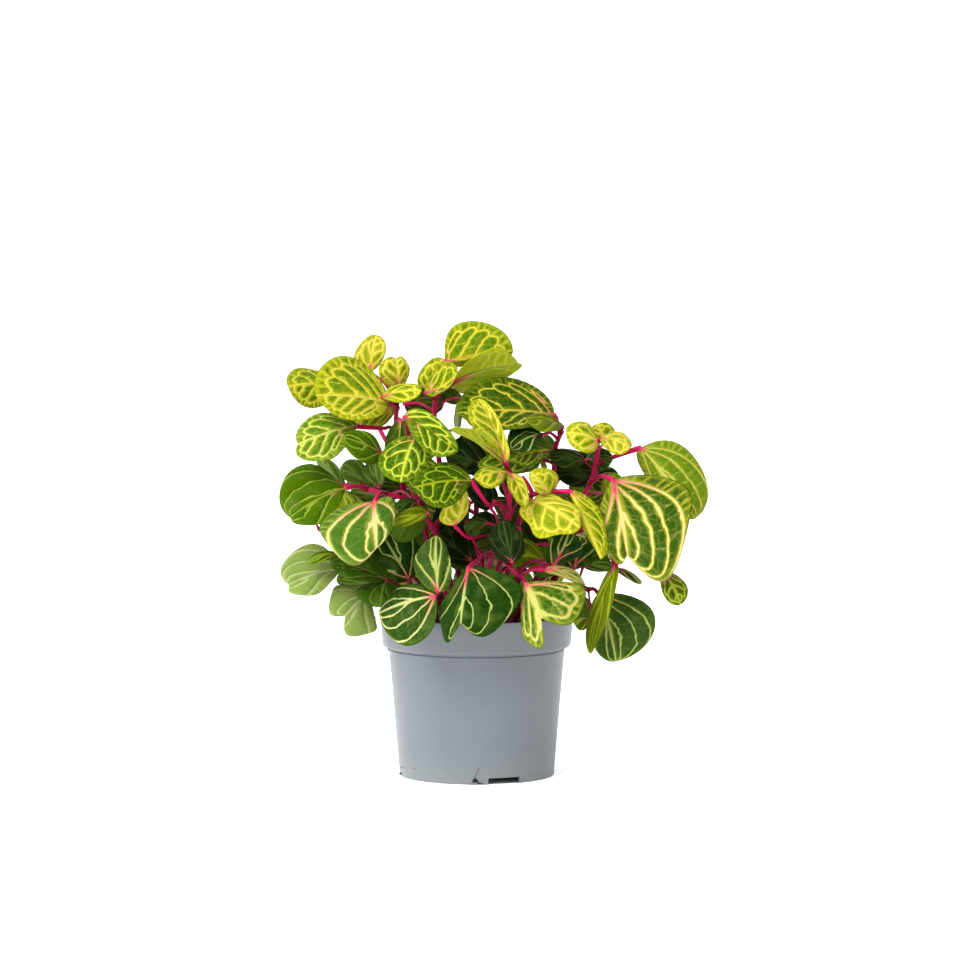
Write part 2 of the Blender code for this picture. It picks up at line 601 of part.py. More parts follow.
def soil(parts, stems):
    """The soil that fills the pot, with a plain hole for each stem."""
    low, shoulder, floor = POT_H - BAND_H, POT_H - BAND_H + WALL, FLOOR_RAISE + WALL
    inner, gap = BASE_R - WALL + 0.4, SOIL_GAP
    slope = (RIM_R - RIM_LOW_R) / (BAND_H - WALL)
    edge = RIM_LOW_R - WALL + slope * (SOIL_TOP - shoulder)
    dome = [(0, SOIL_TOP + SOIL_DOME), (edge / 2, SOIL_TOP + 0.75 * SOIL_DOME)]
    profile = [*dome, (edge - gap, SOIL_TOP), (RIM_LOW_R - WALL - gap, shoulder + gap),
               (BODY_TOP_R - WALL - gap, shoulder + gap), (BODY_TOP_R - WALL - gap - 0.1, low),
               (inner - gap, floor + gap), (REST_R - WALL + 1 - gap, floor + gap),
               (REST_R - WALL - gap, WALL + gap), (0, WALL + gap)]
    made = turned("soil", profile, parts, SOIL_SIDES)
    made.data.materials.append(material("potting_soil", (0.05, 0.035, 0.025), 0.95))
    holes = cutters("soil_cutters")
    for name, stem in stems.items():
        x, y, z = stem["line"][0]
        cutter(name + "_hole", rod, (x, y, z - SOIL_GAP), 0, holes, radius=STEM_R + HOLE_GAP,
               height=SOIL_TOP - z + 8)
    cut(made, holes)


def build():
    """Clears the scene and makes the pot, the soil and every leafy stem."""
    for obj in list(bpy.data.objects):
        bpy.data.objects.remove(obj)
    parts = bpy.data.collections.new("potted_bloodleaf")
    bpy.context.scene.collection.children.link(parts)
    stems = plan()
    for name, made in stems.items():
        leafy_stem(name, made, parts)
    pot(parts)
    soil(parts, stems)


build()
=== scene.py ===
import math
import random
from functools import partial

import bpy
import mathutils
import numpy as np
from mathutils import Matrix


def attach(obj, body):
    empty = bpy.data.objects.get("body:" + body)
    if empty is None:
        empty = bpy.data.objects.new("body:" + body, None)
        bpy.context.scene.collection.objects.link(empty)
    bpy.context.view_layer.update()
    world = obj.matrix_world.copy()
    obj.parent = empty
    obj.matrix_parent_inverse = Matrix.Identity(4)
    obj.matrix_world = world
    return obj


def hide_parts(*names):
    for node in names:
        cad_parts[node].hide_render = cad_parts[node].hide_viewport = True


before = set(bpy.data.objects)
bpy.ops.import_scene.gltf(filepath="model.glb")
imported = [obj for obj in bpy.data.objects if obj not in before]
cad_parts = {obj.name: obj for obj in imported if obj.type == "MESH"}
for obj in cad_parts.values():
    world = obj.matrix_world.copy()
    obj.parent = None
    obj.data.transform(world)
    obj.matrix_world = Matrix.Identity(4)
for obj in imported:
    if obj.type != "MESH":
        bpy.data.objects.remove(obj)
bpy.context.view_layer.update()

# A yellow-veined bloodleaf in a grey nursery pot, seen a little from above. The pot stands on z = 0 and the
# shown side faces -Y. Lengths below are millimetres, colours are sRGB hex.
mm = 0.001


# The sRGB curve turned back: a part under 0.04 is divided by 12.92, the rest is ((c + 0.055) / 1.055) ** 2.4.
def linear(code, alpha=1.0):
    parts = np.array([int(code[k:k + 2], 16) / 255 for k in (0, 2, 4)])
    return (*np.where(parts < 0.04045, parts / 12.92, ((parts + 0.055) / 1.055) ** 2.4).tolist(), alpha)


# Adds a node. Its inputs are named in a dictionary, or listed in the order of its open sockets. Each is a plain
# value, a socket, or a node, whose first open output is then linked.
def addNode(tree, kind, inputs=(), **settings):
    node = tree.nodes.new("ShaderNode" + kind)
    for name, value in settings.items():
        setattr(node, name, value)
    if isinstance(inputs, dict):
        pairs = [(node.inputs[name], value) for name, value in inputs.items()]
    else:
        pairs = list(zip([socket for socket in node.inputs if socket.enabled], inputs))
    for socket, value in pairs:
        if isinstance(value, bpy.types.Node):
            value = next(out for out in value.outputs if out.enabled)
        if isinstance(value, bpy.types.NodeSocket):
            tree.links.new(value, socket)
        else:
            socket.default_value = value
    return node


# A new material and the function that adds nodes to its empty tree.
def startMaterial(name):
    made = bpy.data.materials.new(name)
    made.use_nodes = True
    made.node_tree.nodes.clear()
    return made, partial(addNode, made.node_tree)


# Ends a material with its Principled shader. Plain numbers and colours are set on the shader's own sockets.
def endMaterial(made, inputs):
    shader = addNode(made.node_tree, "BsdfPrincipled", inputs)
    addNode(made.node_tree, "OutputMaterial", {"Surface": shader})
    return made


# A mesh piece from points in millimetres and faces, smooth shaded up to the crease angle, riding on the one body.
# which gives each face its material, and marks are numbers or colours that each point carries.
def addPiece(name, points, faces, materials, nodes=(), slot=None, which=None, marks=None, crease=None):
    mesh = bpy.data.meshes.new(name)
    mesh.from_pydata(points * mm, [], faces)
    mesh.shade_smooth()
    if crease:
        mesh.set_sharp_from_angle(angle=math.radians(crease))
    for made in materials:
        mesh.materials.append(made)
    if which is not None:
        mesh.polygons.foreach_set("material_index", which.astype(np.int32))
    for title, values in (marks or {}).items():
        isColour = values.shape[1] == 4
        layer = mesh.attributes.new(title, "FLOAT_COLOR" if isColour else "FLOAT_VECTOR", "POINT")
        layer.data.foreach_set("color" if isColour else "vector", values.astype(np.float32).ravel())
    mesh.update()
    piece = bpy.data.objects.new(name, mesh)
    bpy.context.scene.collection.objects.link(piece)
    if slot:
        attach(piece, "root")
        if nodes:
            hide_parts(*nodes)
    return piece


# A vector brought to length 1, or an array of them.
def unit(vectors):
    return vectors / np.linalg.norm(vectors, axis=-1, keepdims=True)


# Points of a rounded corner about x, z, from one angle to another in degrees.
def arc(x, z, radius, start, stop, count=5):
    return [(x + radius * math.cos(t), z + radius * math.sin(t)) for t in np.radians(np.linspace(start, stop, count))]


# Rings of points closed to a solid: quads from ring to ring, and a fan to one point at each end.
def closeRings(rings, start, end):
    count, around = rings.shape[:2]
    points = np.vstack([[start], rings.reshape(-1, 3), [end]])
    at = 1 + np.arange(count * around).reshape(count, around)
    on = np.roll(at, -1, 1)
    quads = np.stack([at[:-1], at[1:], on[1:], on[:-1]], -1).reshape(-1, 4).tolist()
    first = np.stack([np.zeros(around, int), at[0], on[0]], -1).tolist()
    last = np.stack([np.full(around, len(points) - 1), on[-1], at[-1]], -1).tolist()
    return points, first + quads + last


# A closed turned surface: a profile of (radius, height) rows that starts and ends on the axis is carried round
# it, and shift moves the ring points if given.
def turned(profile, turns, shift=None):
    rows = np.array(profile[1:-1], float)
    r, turn = np.meshgrid(rows[:, 0], turns, indexing="ij")
    rings = np.stack([r * np.cos(turn), r * np.sin(turn), np.broadcast_to(rows[:, 1:], r.shape)], -1)
    if shift:
        rings = shift(rings, turn)
    return closeRings(rings, (0, 0, profile[0][1]), (0, 0, profile[-1][1]))


# A round tube along a line, closed by a point at each end. Its rings stand square to the line, each turned from
# the one before by the least turn.
def tube(line, radii, sides):
    radii = np.broadcast_to(radii, len(line))[:, None, None]
    ahead = unit(np.gradient(line, axis=0))
    across = np.cross(ahead[0], [0.3, 1.0, 0.2])  # any direction that no line here starts in
    sideways = []
    for heading in ahead:
        across = unit(across - heading * (across @ heading))
        sideways.append(across)
    one = np.array(sideways)[:, None]
    two = np.cross(ahead, one[:, 0])[:, None]
    turns = np.linspace(0, -2 * math.pi, sides, endpoint=False)[:, None]
    rings = line[:, None] + radii * (one * np.cos(turns) + two * np.sin(turns))
    start, end = line[[0, -1]] + ahead[[0, -1]] * radii[[0, -1], 0] * [[-0.4], [0.4]]
    return closeRings(rings, start, end)


# A Catmull-Rom line through points, with steps to each stretch.
def smooth(points, steps=5):
    p = np.array([2 * points[0] - points[1], *points, 2 * points[-1] - points[-2]])
    t = np.linspace(0, 1, steps, endpoint=False)[:, None]
    rows = []
    for k in range(1, len(p) - 2):
        a, b, c, d = p[k - 1:k + 3]
        rows.append(0.5 * (2 * b + (c - a) * t + (2 * a - 5 * b + 4 * c - d) * t**2
                           + (3 * b - a - 3 * c + d) * t**3))
    return np.vstack([*rows, p[-2:-1]])


# Several solids as one: their points end to end, and their faces counted on.
def gather(solids):
    offsets = np.cumsum([0] + [len(points) for points, faces in solids]).tolist()
    faces = [[k + offset for k in face] for (points, own), offset in zip(solids, offsets) for face in own]
    return np.vstack([points for points, own in solids]), faces


# The pot's radii, heights and roundings. The crumbs are (x, z, size) and the threads lines of (x, z), stuck to
# the shown side of the wall.
pot = {
    "height": 100.0, "rim": 60.0, "rimLow": 58.4, "band": 20.0, "bodyTop": 54.6, "base": 48.1, "wall": 1.4,
    "raise": 4.6, "rest": 23.0, "foot": 2.4, "slots": 3, "slotWide": 21.0, "slotHigh": 4.0, "slotTurn": 21.0,
    "lip": 0.5, "hem": 2.2, "heel": 0.9, "groove": 0.5, "straight": 5.0, "columns": 180, "crease": 40,
    "plastic": "52585D", "scuff": "5E6469", "dust": "7E7E7A", "peat": "1C130E", "threadRound": 0.16,
    "crumbs": [(-1.2, 2.9, 1.3), (0.2, 2.2, 0.9), (-2.0, 2.0, 0.7), (1.4, 0.9, 0.6), (-47.3, 1.5, 0.9),
               (-38.0, 7.4, 0.45)],
    "threads": [[(-1.6, 3.0), (-0.6, 5.6), (0.5, 8.2), (1.4, 10.3)], [(-0.9, 2.4), (1.2, 1.2), (4.0, 0.9)],
                [(-4.5, 0.6), (-1.5, 0.35), (2.0, 0.6), (5.2, 0.4)], [(-47.9, 4.9), (-46.6, 6.0), (-44.6, 6.4)]],
}
pot["low"] = pot["height"] - pot["band"]  # the band's lower edge, and inside it a shoulder one wall above
pot["shoulder"] = pot["low"] + pot["wall"]
pot["floor"] = pot["raise"] + pot["wall"]
pot["inner"] = pot["base"] - pot["wall"] + 0.4


# Moulded polypropylene: even blue-grey, a satin skin with faint drag lines round it 1 mm apart, a few scuffs 45 mm
# across and dust in its lowest 20 mm.
def makePlastic():
    made, add = startMaterial("mouldedPolypropylene")
    at = add("TexCoord").outputs["Object"]
    flat = add("Mapping", {"Vector": at, "Scale": (60, 60, 900)})
    drag = add("TexNoise", {"Vector": flat, "Scale": 1.0, "Detail": 3.0})
    blotch = add("TexNoise", {"Vector": at, "Scale": 22.0, "Detail": 4.0, "Roughness": 0.6})
    scuffed = add("MapRange", [blotch, 0.35, 0.75, 0.0, 0.35])
    base = add("Mix", [scuffed, linear(pot["plastic"]), linear(pot["scuff"])], data_type="RGBA")
    low = add("MapRange", [add("SeparateXYZ", [at]).outputs["Z"], 0.0, 20 * mm, 0.35, 0.0])
    grit = add("TexNoise", {"Vector": at, "Scale": 900.0, "Detail": 2.0})
    dusty = add("Math", [low, grit], operation="MULTIPLY")
    skin = add("Mix", [dusty, base, linear(pot["dust"])], data_type="RGBA")
    rough = add("MapRange", [drag, 0.0, 1.0, 0.36, 0.5])
    bump = add("Bump", {"Height": drag, "Strength": 0.08, "Distance": 0.4 * mm})
    return endMaterial(made, {"Base Color": skin, "Roughness": rough, "Normal": bump, "IOR": 1.49,
                              "Specular IOR Level": 0.45})


# A place on the pot's front, from how far it is to the side and up: y is minus the root of the wall's radius at
# that height squared less x squared. The wall widens evenly above its straight foot and is rounded off below.
def onWall(x, z, off=0.0):
    rise = np.clip(np.asarray(z) - pot["straight"], 0, None) / (pot["low"] - 1 - pot["straight"])
    heel = pot["heel"] * np.clip(1 - np.asarray(z) / pot["heel"], 0, 1) ** 2
    radius = pot["base"] + off + (pot["bodyTop"] - pot["base"]) * rise - heel
    return np.stack([x, -np.sqrt(np.maximum(radius**2 - np.square(x), 0)), z], -1)


# A crumb stuck to the wall: a small ball made lumpy by crossed sines.
def crumb(x, z, size):
    ball = [(0, 1), *[(math.cos(t), math.sin(t)) for t in np.linspace(1.2, -1.2, 7)], (0, -1)]
    points, faces = turned(ball, np.linspace(0, 2 * math.pi, 12, endpoint=False))
    lumps = 1 + 0.22 * np.sin(points[:, 0] * 4 + x) * np.cos(points[:, 2] * 5 + z) + 0.12 * np.sin(points[:, 1] * 7)
    return onWall(x, z, size * 0.3) + points * lumps[:, None] * [size, size * 0.7, size * 0.75], faces


# A root fibre stuck to the wall: a thin tube along a line.
def thread(line):
    x, z = smooth(np.array(line), 4).T
    return tube(onWall(x, z, pot["threadRound"]), pot["threadRound"], 6)


# Dried peat and root fibre left by watering: a dark dull brown with grit under 1 mm.
def makeCrumb():
    made, add = startMaterial("driedPeat")
    grit = add("TexNoise", {"Vector": add("TexCoord").outputs["Object"], "Scale": 1500.0, "Detail": 2.0})
    skin = add("Mix", [grit, linear(pot["peat"]), linear(soil["peat"])], data_type="RGBA")
    return endMaterial(made, {"Base Color": skin, "Roughness": 0.95, "Specular IOR Level": 0.1})


# The pot's outer and inner lines as one profile, from the axis inside to the axis below.
def potProfile():
    wall, rim, rimLow, top, base = pot["wall"], pot["rim"], pot["rimLow"], pot["bodyTop"], pot["base"]
    low, shoulder, floor, inner = pot["low"], pot["shoulder"], pot["floor"], pot["inner"]
    lip, hem, heel, high = pot["lip"], pot["hem"], pot["heel"], pot["height"] - pot["lip"]
    foot, rest, under, groove = base - pot["foot"], pot["rest"], pot["raise"], pot["groove"]
    return [(0, wall), (rest - wall, wall), (rest - wall + 1, floor), (inner - 2, floor), (inner, floor + 1.5),
            (top - wall - 0.3, low), (top - wall, shoulder), (rimLow - wall - 0.6, shoulder),
            (rimLow - wall, shoulder + 0.8), *arc(rim - wall + lip, high, lip, 180, 90),
            *arc(rim - lip, high, lip, 90, 0), (rim - 0.3, pot["height"] - 4),
            *arc(rimLow - hem, low + hem, hem, 0, -90, 7), (top + groove, low), (top - groove, low - 0.2),
            (top - groove - 0.1, low - 1.2), (top - 0.1, low - 1.7), (top - 0.6, low - 8),
            (base + 0.2, pot["straight"]), (base, 4.2), *arc(base - heel, heel, heel, 0, -90), (foot + 0.3, 0),
            (foot, 0.3), (foot, under - 0.2), (foot - 0.4, under), (rest + 1, under), (rest + 0.2, 0.2), (rest, 0),
            (0, 0)]


# The pot: its profile carried round. Inside a drainage slot the foot ring's points are lifted to the slot's
# height; the columns crowd at a slot's two ends, so that its ends stand upright.
def makePot():
    half = pot["slotWide"] / 2 / pot["base"]
    middles = [math.radians(pot["slotTurn"] - 90 + 360 / pot["slots"] * k) for k in range(pot["slots"])]
    edges = [m + side * (half + step) for m in middles for side in (-1, 1) for step in (-0.002, 0.002)]
    even = np.linspace(0, 2 * math.pi, pot["columns"], endpoint=False)
    turns = np.unique(np.round(np.mod([*even, *edges], 2 * math.pi), 6))

    def lifted(rings, turn):
        off = np.min([np.abs(np.angle(np.exp(1j * (turn - m)))) for m in middles], axis=0)
        onFoot = (np.hypot(rings[..., 0], rings[..., 1]) > pot["base"] - pot["foot"] - 1) & (rings[..., 2] < 4)
        rings[..., 2] = np.where((off < half) & onFoot, pot["slotHigh"], rings[..., 2])
        return rings

    solids = [turned(potProfile(), turns, lifted)]
    solids += [crumb(*place) for place in pot["crumbs"]] + [thread(line) for line in pot["threads"]]
    points, faces = gather(solids)
    which = np.arange(len(faces)) >= len(solids[0][1])
    addPiece("nurseryPot", points, faces, [makePlastic(), makeCrumb()], ["pot"], "pot_plastic", which,
             crease=pot["crease"])
    print("pot made")


# gap is what is left between soil and pot.
soil = {
    "top": 88.0, "gap": 0.35, "dome": 2.0, "crumb": 1.1, "rows": 44, "columns": 150, "seed": 5,
    "peat": "2B1D14", "dryPeat": "4A3625", "fibre": "6E5438",
}


# Peat potting mix: near-black brown crumbs 2 mm across, dry ones paler, with short light fibres; quite matt.
def makePeat():
    made, add = startMaterial("peatPottingMix")
    at = add("TexCoord").outputs["Object"]
    grains = add("TexVoronoi", {"Vector": at, "Scale": 450.0})
    dry = add("TexNoise", {"Vector": at, "Scale": 160.0, "Detail": 5.0, "Roughness": 0.7})
    body = add("Mix", [add("MapRange", [dry, 0.45, 0.7]), linear(soil["peat"]), linear(soil["dryPeat"])],
               data_type="RGBA")
    strand = add("TexNoise", {"Vector": at, "Scale": 420.0, "Detail": 1.0, "Distortion": 2.0})
    skin = add("Mix", [add("MapRange", [strand, 0.68, 0.74, 0.0, 0.7]), body, linear(soil["fibre"])],
               data_type="RGBA")
    bump = add("Bump", {"Height": grains, "Strength": 0.8, "Distance": 1.5 * mm})
    return endMaterial(made, {"Base Color": skin, "Roughness": 0.95, "Specular IOR Level": 0.2, "Normal": bump})


# The soil: a turned plug a gap inside the pot, whose top rows are pushed up and down by crossed sines and seeded
# grains.
def makeSoil():
    wall, gap, top = pot["wall"], soil["gap"], soil["top"]
    low, shoulder, floor = pot["low"], pot["shoulder"] + gap, pot["floor"] + gap
    edge, body, inner = pot["rimLow"] - wall + gap, pot["bodyTop"] - wall - gap, pot["inner"] - gap
    dome = [(edge * k, top + soil["dome"] * (1 - k * k)) for k in np.linspace(0, 1, soil["rows"])]
    profile = [*dome, (edge - gap, top - 1.5), (edge - gap - 0.4, shoulder), (body, shoulder), (body - 0.4, low),
               (inner - 2, floor), (pot["rest"] - wall, floor), (0, floor)]
    grains = np.random.default_rng(soil["seed"])

    def rough(rings, turn):
        x, y, z = rings[..., 0], rings[..., 1], rings[..., 2]
        wave = (np.sin(x * 0.31 + 1) * np.cos(y * 0.27) + 0.6 * np.sin(x * 0.7 + y * 0.55)
                + 0.5 * np.sin(y * 1.1 - x * 0.4))
        push = soil["crumb"] * (0.45 * wave + grains.uniform(-0.55, 0.55, x.shape))
        rings[..., 2] = z + np.where(z > top - 0.5, push, 0)
        return rings

    points, faces = turned(profile, np.linspace(0, 2 * math.pi, soil["columns"], endpoint=False), rough)
    addPiece("pottingSoil", points, faces, [makePeat()], ["soil"], "soil")
    print("soil made")


# A listed leaf: its tone, then its four points as (x, z, depth). Left and right are as seen from the base with
# the upper side towards the eye, lobes carry each half past the midrib's end, at sets the widest place, via is
# a point the stalk passes and ripple pushes a crumpled leaf's rim in and out.
def leaf(tone, base, tip, left, right, lobes=(0, 0), at=(None, None), arch=3.0, curl=2.0, via=None, ripple=0.0):
    return {"tone": tone, "base": base, "tip": tip, "left": left, "right": right, "lobes": lobes, "at": at,
            "arch": arch, "curl": curl, "via": via, "ripple": ripple}


# The shown stems as the photograph has them: where each stands in the soil as (x, y), the points it passes and
# its leaves.
shownStems = {
    "leafy_stem_upper_left": ((-16, 10), [(-30, 130, 8), (-46, 180, 4), (-50, 214, -2), (-49, 230, -6)], [
        leaf("lime", (-84, 240, 8), (-116.5, 241, -6), (-101, 227, -6), (-105, 251.5, 12)),
        leaf("glow", (-54, 230, -14), (-99.5, 235, -36), (-75, 219, -38), (-79, 258.5, -8)),
        leaf("yellow", (-66, 250, 2), (-62, 272.5, 6), (-76, 257, 4), (-56, 262, 2)),
        leaf("glow", (-50, 237, 0), (-50, 258, -2), (-61, 250, -6), (-42, 251, 2), lobes=(0.1, 0.1)),
        leaf("lime", (-59, 234, -16), (-34, 238, -24), (-47, 242.5, -14), (-45, 231, -26), arch=2),
        leaf("fresh", (-74, 216, -24), (-110.5, 205, -42), (-96, 193.5, -46), (-98, 223, -26), lobes=(0.15, 0),
             via=(-58, 215, -14)),
    ]),
    "leafy_stem_top": ((-5, 14), [(-14, 140, 8), (-24, 200, 6), (-26, 228, 0), (-24, 236, -2)], [
        leaf("lime", (-27, 238, 6), (-21.5, 258.5, 10), (-36.5, 246, 8), (-12, 250, 8)),
        leaf("lime", (-32, 236.5, -8), (-11.5, 249, -20), (-22.5, 255, -8), (-20.5, 237.5, -22), arch=-3, curl=-3),
        leaf("lime", (-19.5, 256, 4), (22.5, 263, 0), (-6, 281, 8), (6, 254, 6)),
        leaf("litGolden", (-15, 243, -4), (25.5, 255, -6), (1, 238, 12), (8, 263, -16), lobes=(0.1, 0)),
    ]),
    "leafy_stem_left_front": ((-20, -12), [(-30, 140, -16), (-38, 190, -20), (-42, 211, -26)], [
        leaf("mid", (-38, 210, -38), (-47, 181.5, -53), (-29, 196, -46), (-60, 197, -41)),
        leaf("mid", (-45, 222, -36), (-12, 200, -50), (-34, 227.5, -38), (-28, 198, -56)),
        leaf("green", (-59, 199.5, -30), (-82.5, 209.5, -50), (-71, 193.5, -46), (-69.5, 213, -42)),
    ]),
    "leafy_stem_centre": ((5, -18), [(14, 130, -26), (20, 165, -36), (20, 188, -42)], [
        leaf("glow", (18, 194, -46), (1, 233.5, -40), (-4, 218, -52), (16, 214, -44)),
        leaf("sunlit", (17, 194, -44), (-16, 214, -52), (-2, 215, -62), (0, 204, -44)),
        leaf("lime", (20, 187, -46), (-1, 183, -58), (10, 177.5, -60), (9, 191, -44)),
        leaf("lime", (20, 187, -50), (30, 166, -62), (30, 180, -56), (20, 176, -62)),
        leaf("moss", (-3, 182, -50), (-39.5, 178, -66), (-22, 165, -72), (-20, 193, -49), via=(7, 168, -42)),
        leaf("yellow", (-14, 155, -50), (-8, 177, -54), (-23, 163, -58), (-6, 166, -50), via=(-5, 147, -42)),
        leaf("olive", (10, 170, -14), (30, 158, -14), (24, 170, -8), (18, 156, -18)),
        leaf("shade", (8, 156, -34), (-8, 153, -38), (0, 148, -40), (0, 159, -34)),
    ]),
    "leafy_stem_upper_right": ((12, 6), [(30, 130, 10), (46, 175, 4), (48, 200, -4), (52, 212, -8)], [
        leaf("deep", (48, 223, -4), (-12, 224, -22), (20, 213, -32), (18, 245.5, -2)),
        leaf("under", (53, 216, -12), (30, 219, -30), (41, 212.5, -34), (42, 223, -16)),
        leaf("dark", (41, 211, -20), (21, 202, -34), (33, 201, -36), (28, 218, -18)),
        leaf("mid", (47, 201, -8), (20, 195, -30), (32, 191, -28), (34, 204, -14)),
    ]),
    "leafy_stem_right": ((20, -4), [(42, 130, -2), (62, 165, -6), (72, 186, -8), (75, 204, -12)], [
        leaf("glow", (75, 206, -14), (55, 212, -22), (65, 199.5, -24), (67, 218, -10)),
        leaf("yellow", (76, 208.5, -14), (95, 202.5, -24), (83, 213.5, -10), (84, 199, -24)),
        leaf("shade", (67, 195, 0), (45, 197, -14), (56, 189.5, -12), (57, 202, -2)),
        leaf("shade", (67, 195, 0), (84, 195, -10), (76, 202, 0), (76, 189, -10)),
        leaf("dark", (72, 184, 6), (88, 184, 2), (80, 191, 8), (80, 179, 4)),
        leaf("backlit", (101, 203, -10), (135, 159, -22), (135, 196, -6), (109, 178, -16), via=(84, 197, -8)),
        leaf("blaze", (84, 183, -26), (93, 136, -52), (133, 172, -36), (76, 152, -44), lobes=(0.55, 0.15),
             at=(0.5, None)),
        leaf("mid", (115, 125.5, -28), (126, 105.5, -34), (129, 118, -28), (115.5, 111, -34), via=(100, 145, -24)),
        leaf("dark", (85, 128, -30), (102, 118.5, -34), (95, 125, -30), (93, 121, -34), via=(80, 150, -22)),
        leaf("under", (86, 130, -46), (70.5, 75, -60), (84.5, 106, -58), (71, 100, -52), via=(84, 146, -32)),
    ]),
    "leafy_stem_right_front": ((12, -24), [(20, 130, -17), (27, 160, -31), (34, 174, -43), (28, 185, -46)], [
        leaf("glow", (45, 173, -44), (33, 188, -54), (35, 178, -50), (49, 187, -46)),
        leaf("lime", (58, 176, -48), (77, 134, -54), (77.5, 160, -46), (64, 158, -46), via=(46, 176, -45)),
        leaf("yellow", (32, 171, -46), (63, 154, -62), (56, 170, -48), (36, 149, -62), ripple=0.09),
    ]),
    "leafy_stem_left": ((-10, -18), [(-22, 140, -22), (-36, 166, -27), (-54, 174, -30), (-68, 177, -28)], [
        leaf("green", (-81, 178, -34), (-115.5, 160, -58), (-98.5, 154.5, -60), (-107.5, 193, -30),
             lobes=(0.06, 0.04)),
        leaf("bold", (-63, 170, -48), (-62, 140.5, -72), (-50, 164, -52), (-97.5, 152.5, -60), lobes=(0, 0.4),
             at=(0.5, 0.5)),
        leaf("under", (-30, 162, -40), (-52, 155, -48), (-40, 155, -46), (-40, 166, -42)),
        leaf("grey", (-66, 178, -16), (-85, 189, -20), (-77, 179, -22), (-74, 195, -12)),
        leaf("grey", (-60, 178.5, -14), (-65.5, 194.5, -10), (-69.5, 184, -16), (-57.5, 188.5, -14)),
        leaf("shade", (-36, 168, -30), (-50, 166, -34), (-43, 161, -36), (-43, 171.5, -28)),
    ]),
    "leafy_stem_lower_left": ((-26, -6), [(-38, 108, -16), (-48, 117, -28), (-56, 121, -34)], [
        leaf("pale", (-84, 127, -18), (-116.5, 118, -30), (-100, 111.5, -34), (-105.5, 142.5, -14),
             lobes=(0.1, 0.12)),
        leaf("green", (-85, 136, -26), (-105, 131.5, -32), (-94, 132, -32), (-94, 138.5, -26)),
        leaf("pale", (-68, 111, -22), (-81.5, 98.5, -34), (-64, 88, -34), (-88, 116, -22), lobes=(0.5, 0.35)),
        leaf("bottle", (-55, 120.5, -38), (-91, 131, -44), (-76, 120, -50), (-70, 138, -30)),
        leaf("bottle", (-56, 120, -40), (-60, 104, -52), (-45, 112, -46), (-74.5, 114, -40)),
    ]),
    "leafy_stem_low_front": ((-14, -30), [(-17, 106, -32), (-21, 116, -46), (-24, 113, -56)], [
        leaf("night", (-25, 111, -62), (-60.5, 100, -56), (-38, 80, -72), (-43, 117, -50), at=(0.5, None)),
        leaf("slate", (-24, 113, -62), (-25, 148, -46), (-38.5, 130, -50), (-15.5, 127, -56)),
    ]),
    "leafy_stem_low_middle": ((4, -34), [(6, 118, -32), (9, 136, -42), (12, 138, -44), (26, 123, -50)], [
        leaf("dark", (-5, 129, -66), (-10, 94, -76), (28.5, 111, -66), (-24, 95.5, -62), lobes=(0.32, 0.36),
             at=(0.5, None), via=(0, 133, -54)),
        leaf("cream", (30, 119, -62), (40, 97, -78), (67.5, 114, -62), (29, 85.5, -68), lobes=(0.4, 0.45),
             at=(0.5, 0.5)),
        leaf("cream", (42, 127, -50), (67, 117, -46), (57, 127.5, -44), (54, 121, -54)),
        leaf("dark", (47, 129, -36), (57, 151, -34), (44, 142, -34), (66, 141, -30)),
        leaf("dark", (60, 127, -26), (64, 148, -22), (53, 138, -24), (73, 138, -22)),
        leaf("under", (42, 132, -30), (19, 136, -36), (30, 128, -40), (30, 146, -26)),
        leaf("olive", (14, 140, -20), (0, 143, -26), (6, 138.5, -26), (7, 146, -20)),
    ]),
    "leafy_stem_low_right": ((24, -16), [(44, 112, -12), (60, 118, -20), (69, 115, -28)], [
        leaf("bottle", (66, 130, -20), (84, 128, -16), (74, 138, -18), (74, 126, -20)),
        leaf("slate", (76, 112, -38), (86, 70, -50), (110, 97, -36), (70, 86, -46), at=(0.5, None)),
        leaf("green", (71, 95, -36), (60, 94, -40), (66, 89, -42), (64, 97, -34)),
    ]),
}

# The stems that the photograph doesn't show: where each stands and where it ends.
farStems = {
    "leafy_stem_far_top": ((-2, 28), (4, 52, 232)),
    "leafy_stem_far_upper_left": ((-20, 26), (-62, 58, 212)),
    "leafy_stem_far_upper_right": ((20, 24), (62, 56, 196)),
    "leafy_stem_far_left": ((-32, 14), (-92, 34, 168)),
    "leafy_stem_far_right": ((34, 12), (98, 38, 158)),
    "leafy_stem_far_middle": ((2, 38), (6, 98, 160)),
    "leafy_stem_far_low_left": ((-24, 36), (-52, 92, 124)),
    "leafy_stem_far_low_right": ((24, 36), (54, 90, 122)),
    "leafy_stem_side_left": ((-36, 1), (-98, 6, 152)),
    "leafy_stem_side_right": ((36, 0), (104, 8, 172)),
}

# The outline of the shown leaves, which the far ones stay behind, and the gaps among them as (x, z, radius).
coverOutline = [(-92, 226), (-98, 242), (-84, 254), (-62, 262), (-44, 254), (-40, 240), (-28, 254), (-16, 268),
                (-6, 277), (8, 274), (20, 264), (24, 250), (36, 236), (46, 222), (52, 214), (72, 210), (84, 204),
                (84, 188), (104, 183), (128, 178), (130, 160), (122, 138), (112, 128), (96, 138), (84, 132),
                (64, 132), (56, 118), (58, 98), (56, 60), (50, 20), (-50, 20), (-56, 60), (-58, 110), (-86, 130),
                (-94, 150), (-116, 160), (-116, 184), (-100, 190), (-72, 190), (-60, 196), (-44, 206), (-44, 222),
                (-60, 228)]
openGaps = [(-20, 221, 12), (50, 205, 7), (57, 184, 7), (13, 176, 6), (31, 174, 3), (4, 167, 4), (-53, 177, 4),
            (-67, 173, 4), (-17, 138, 5)]


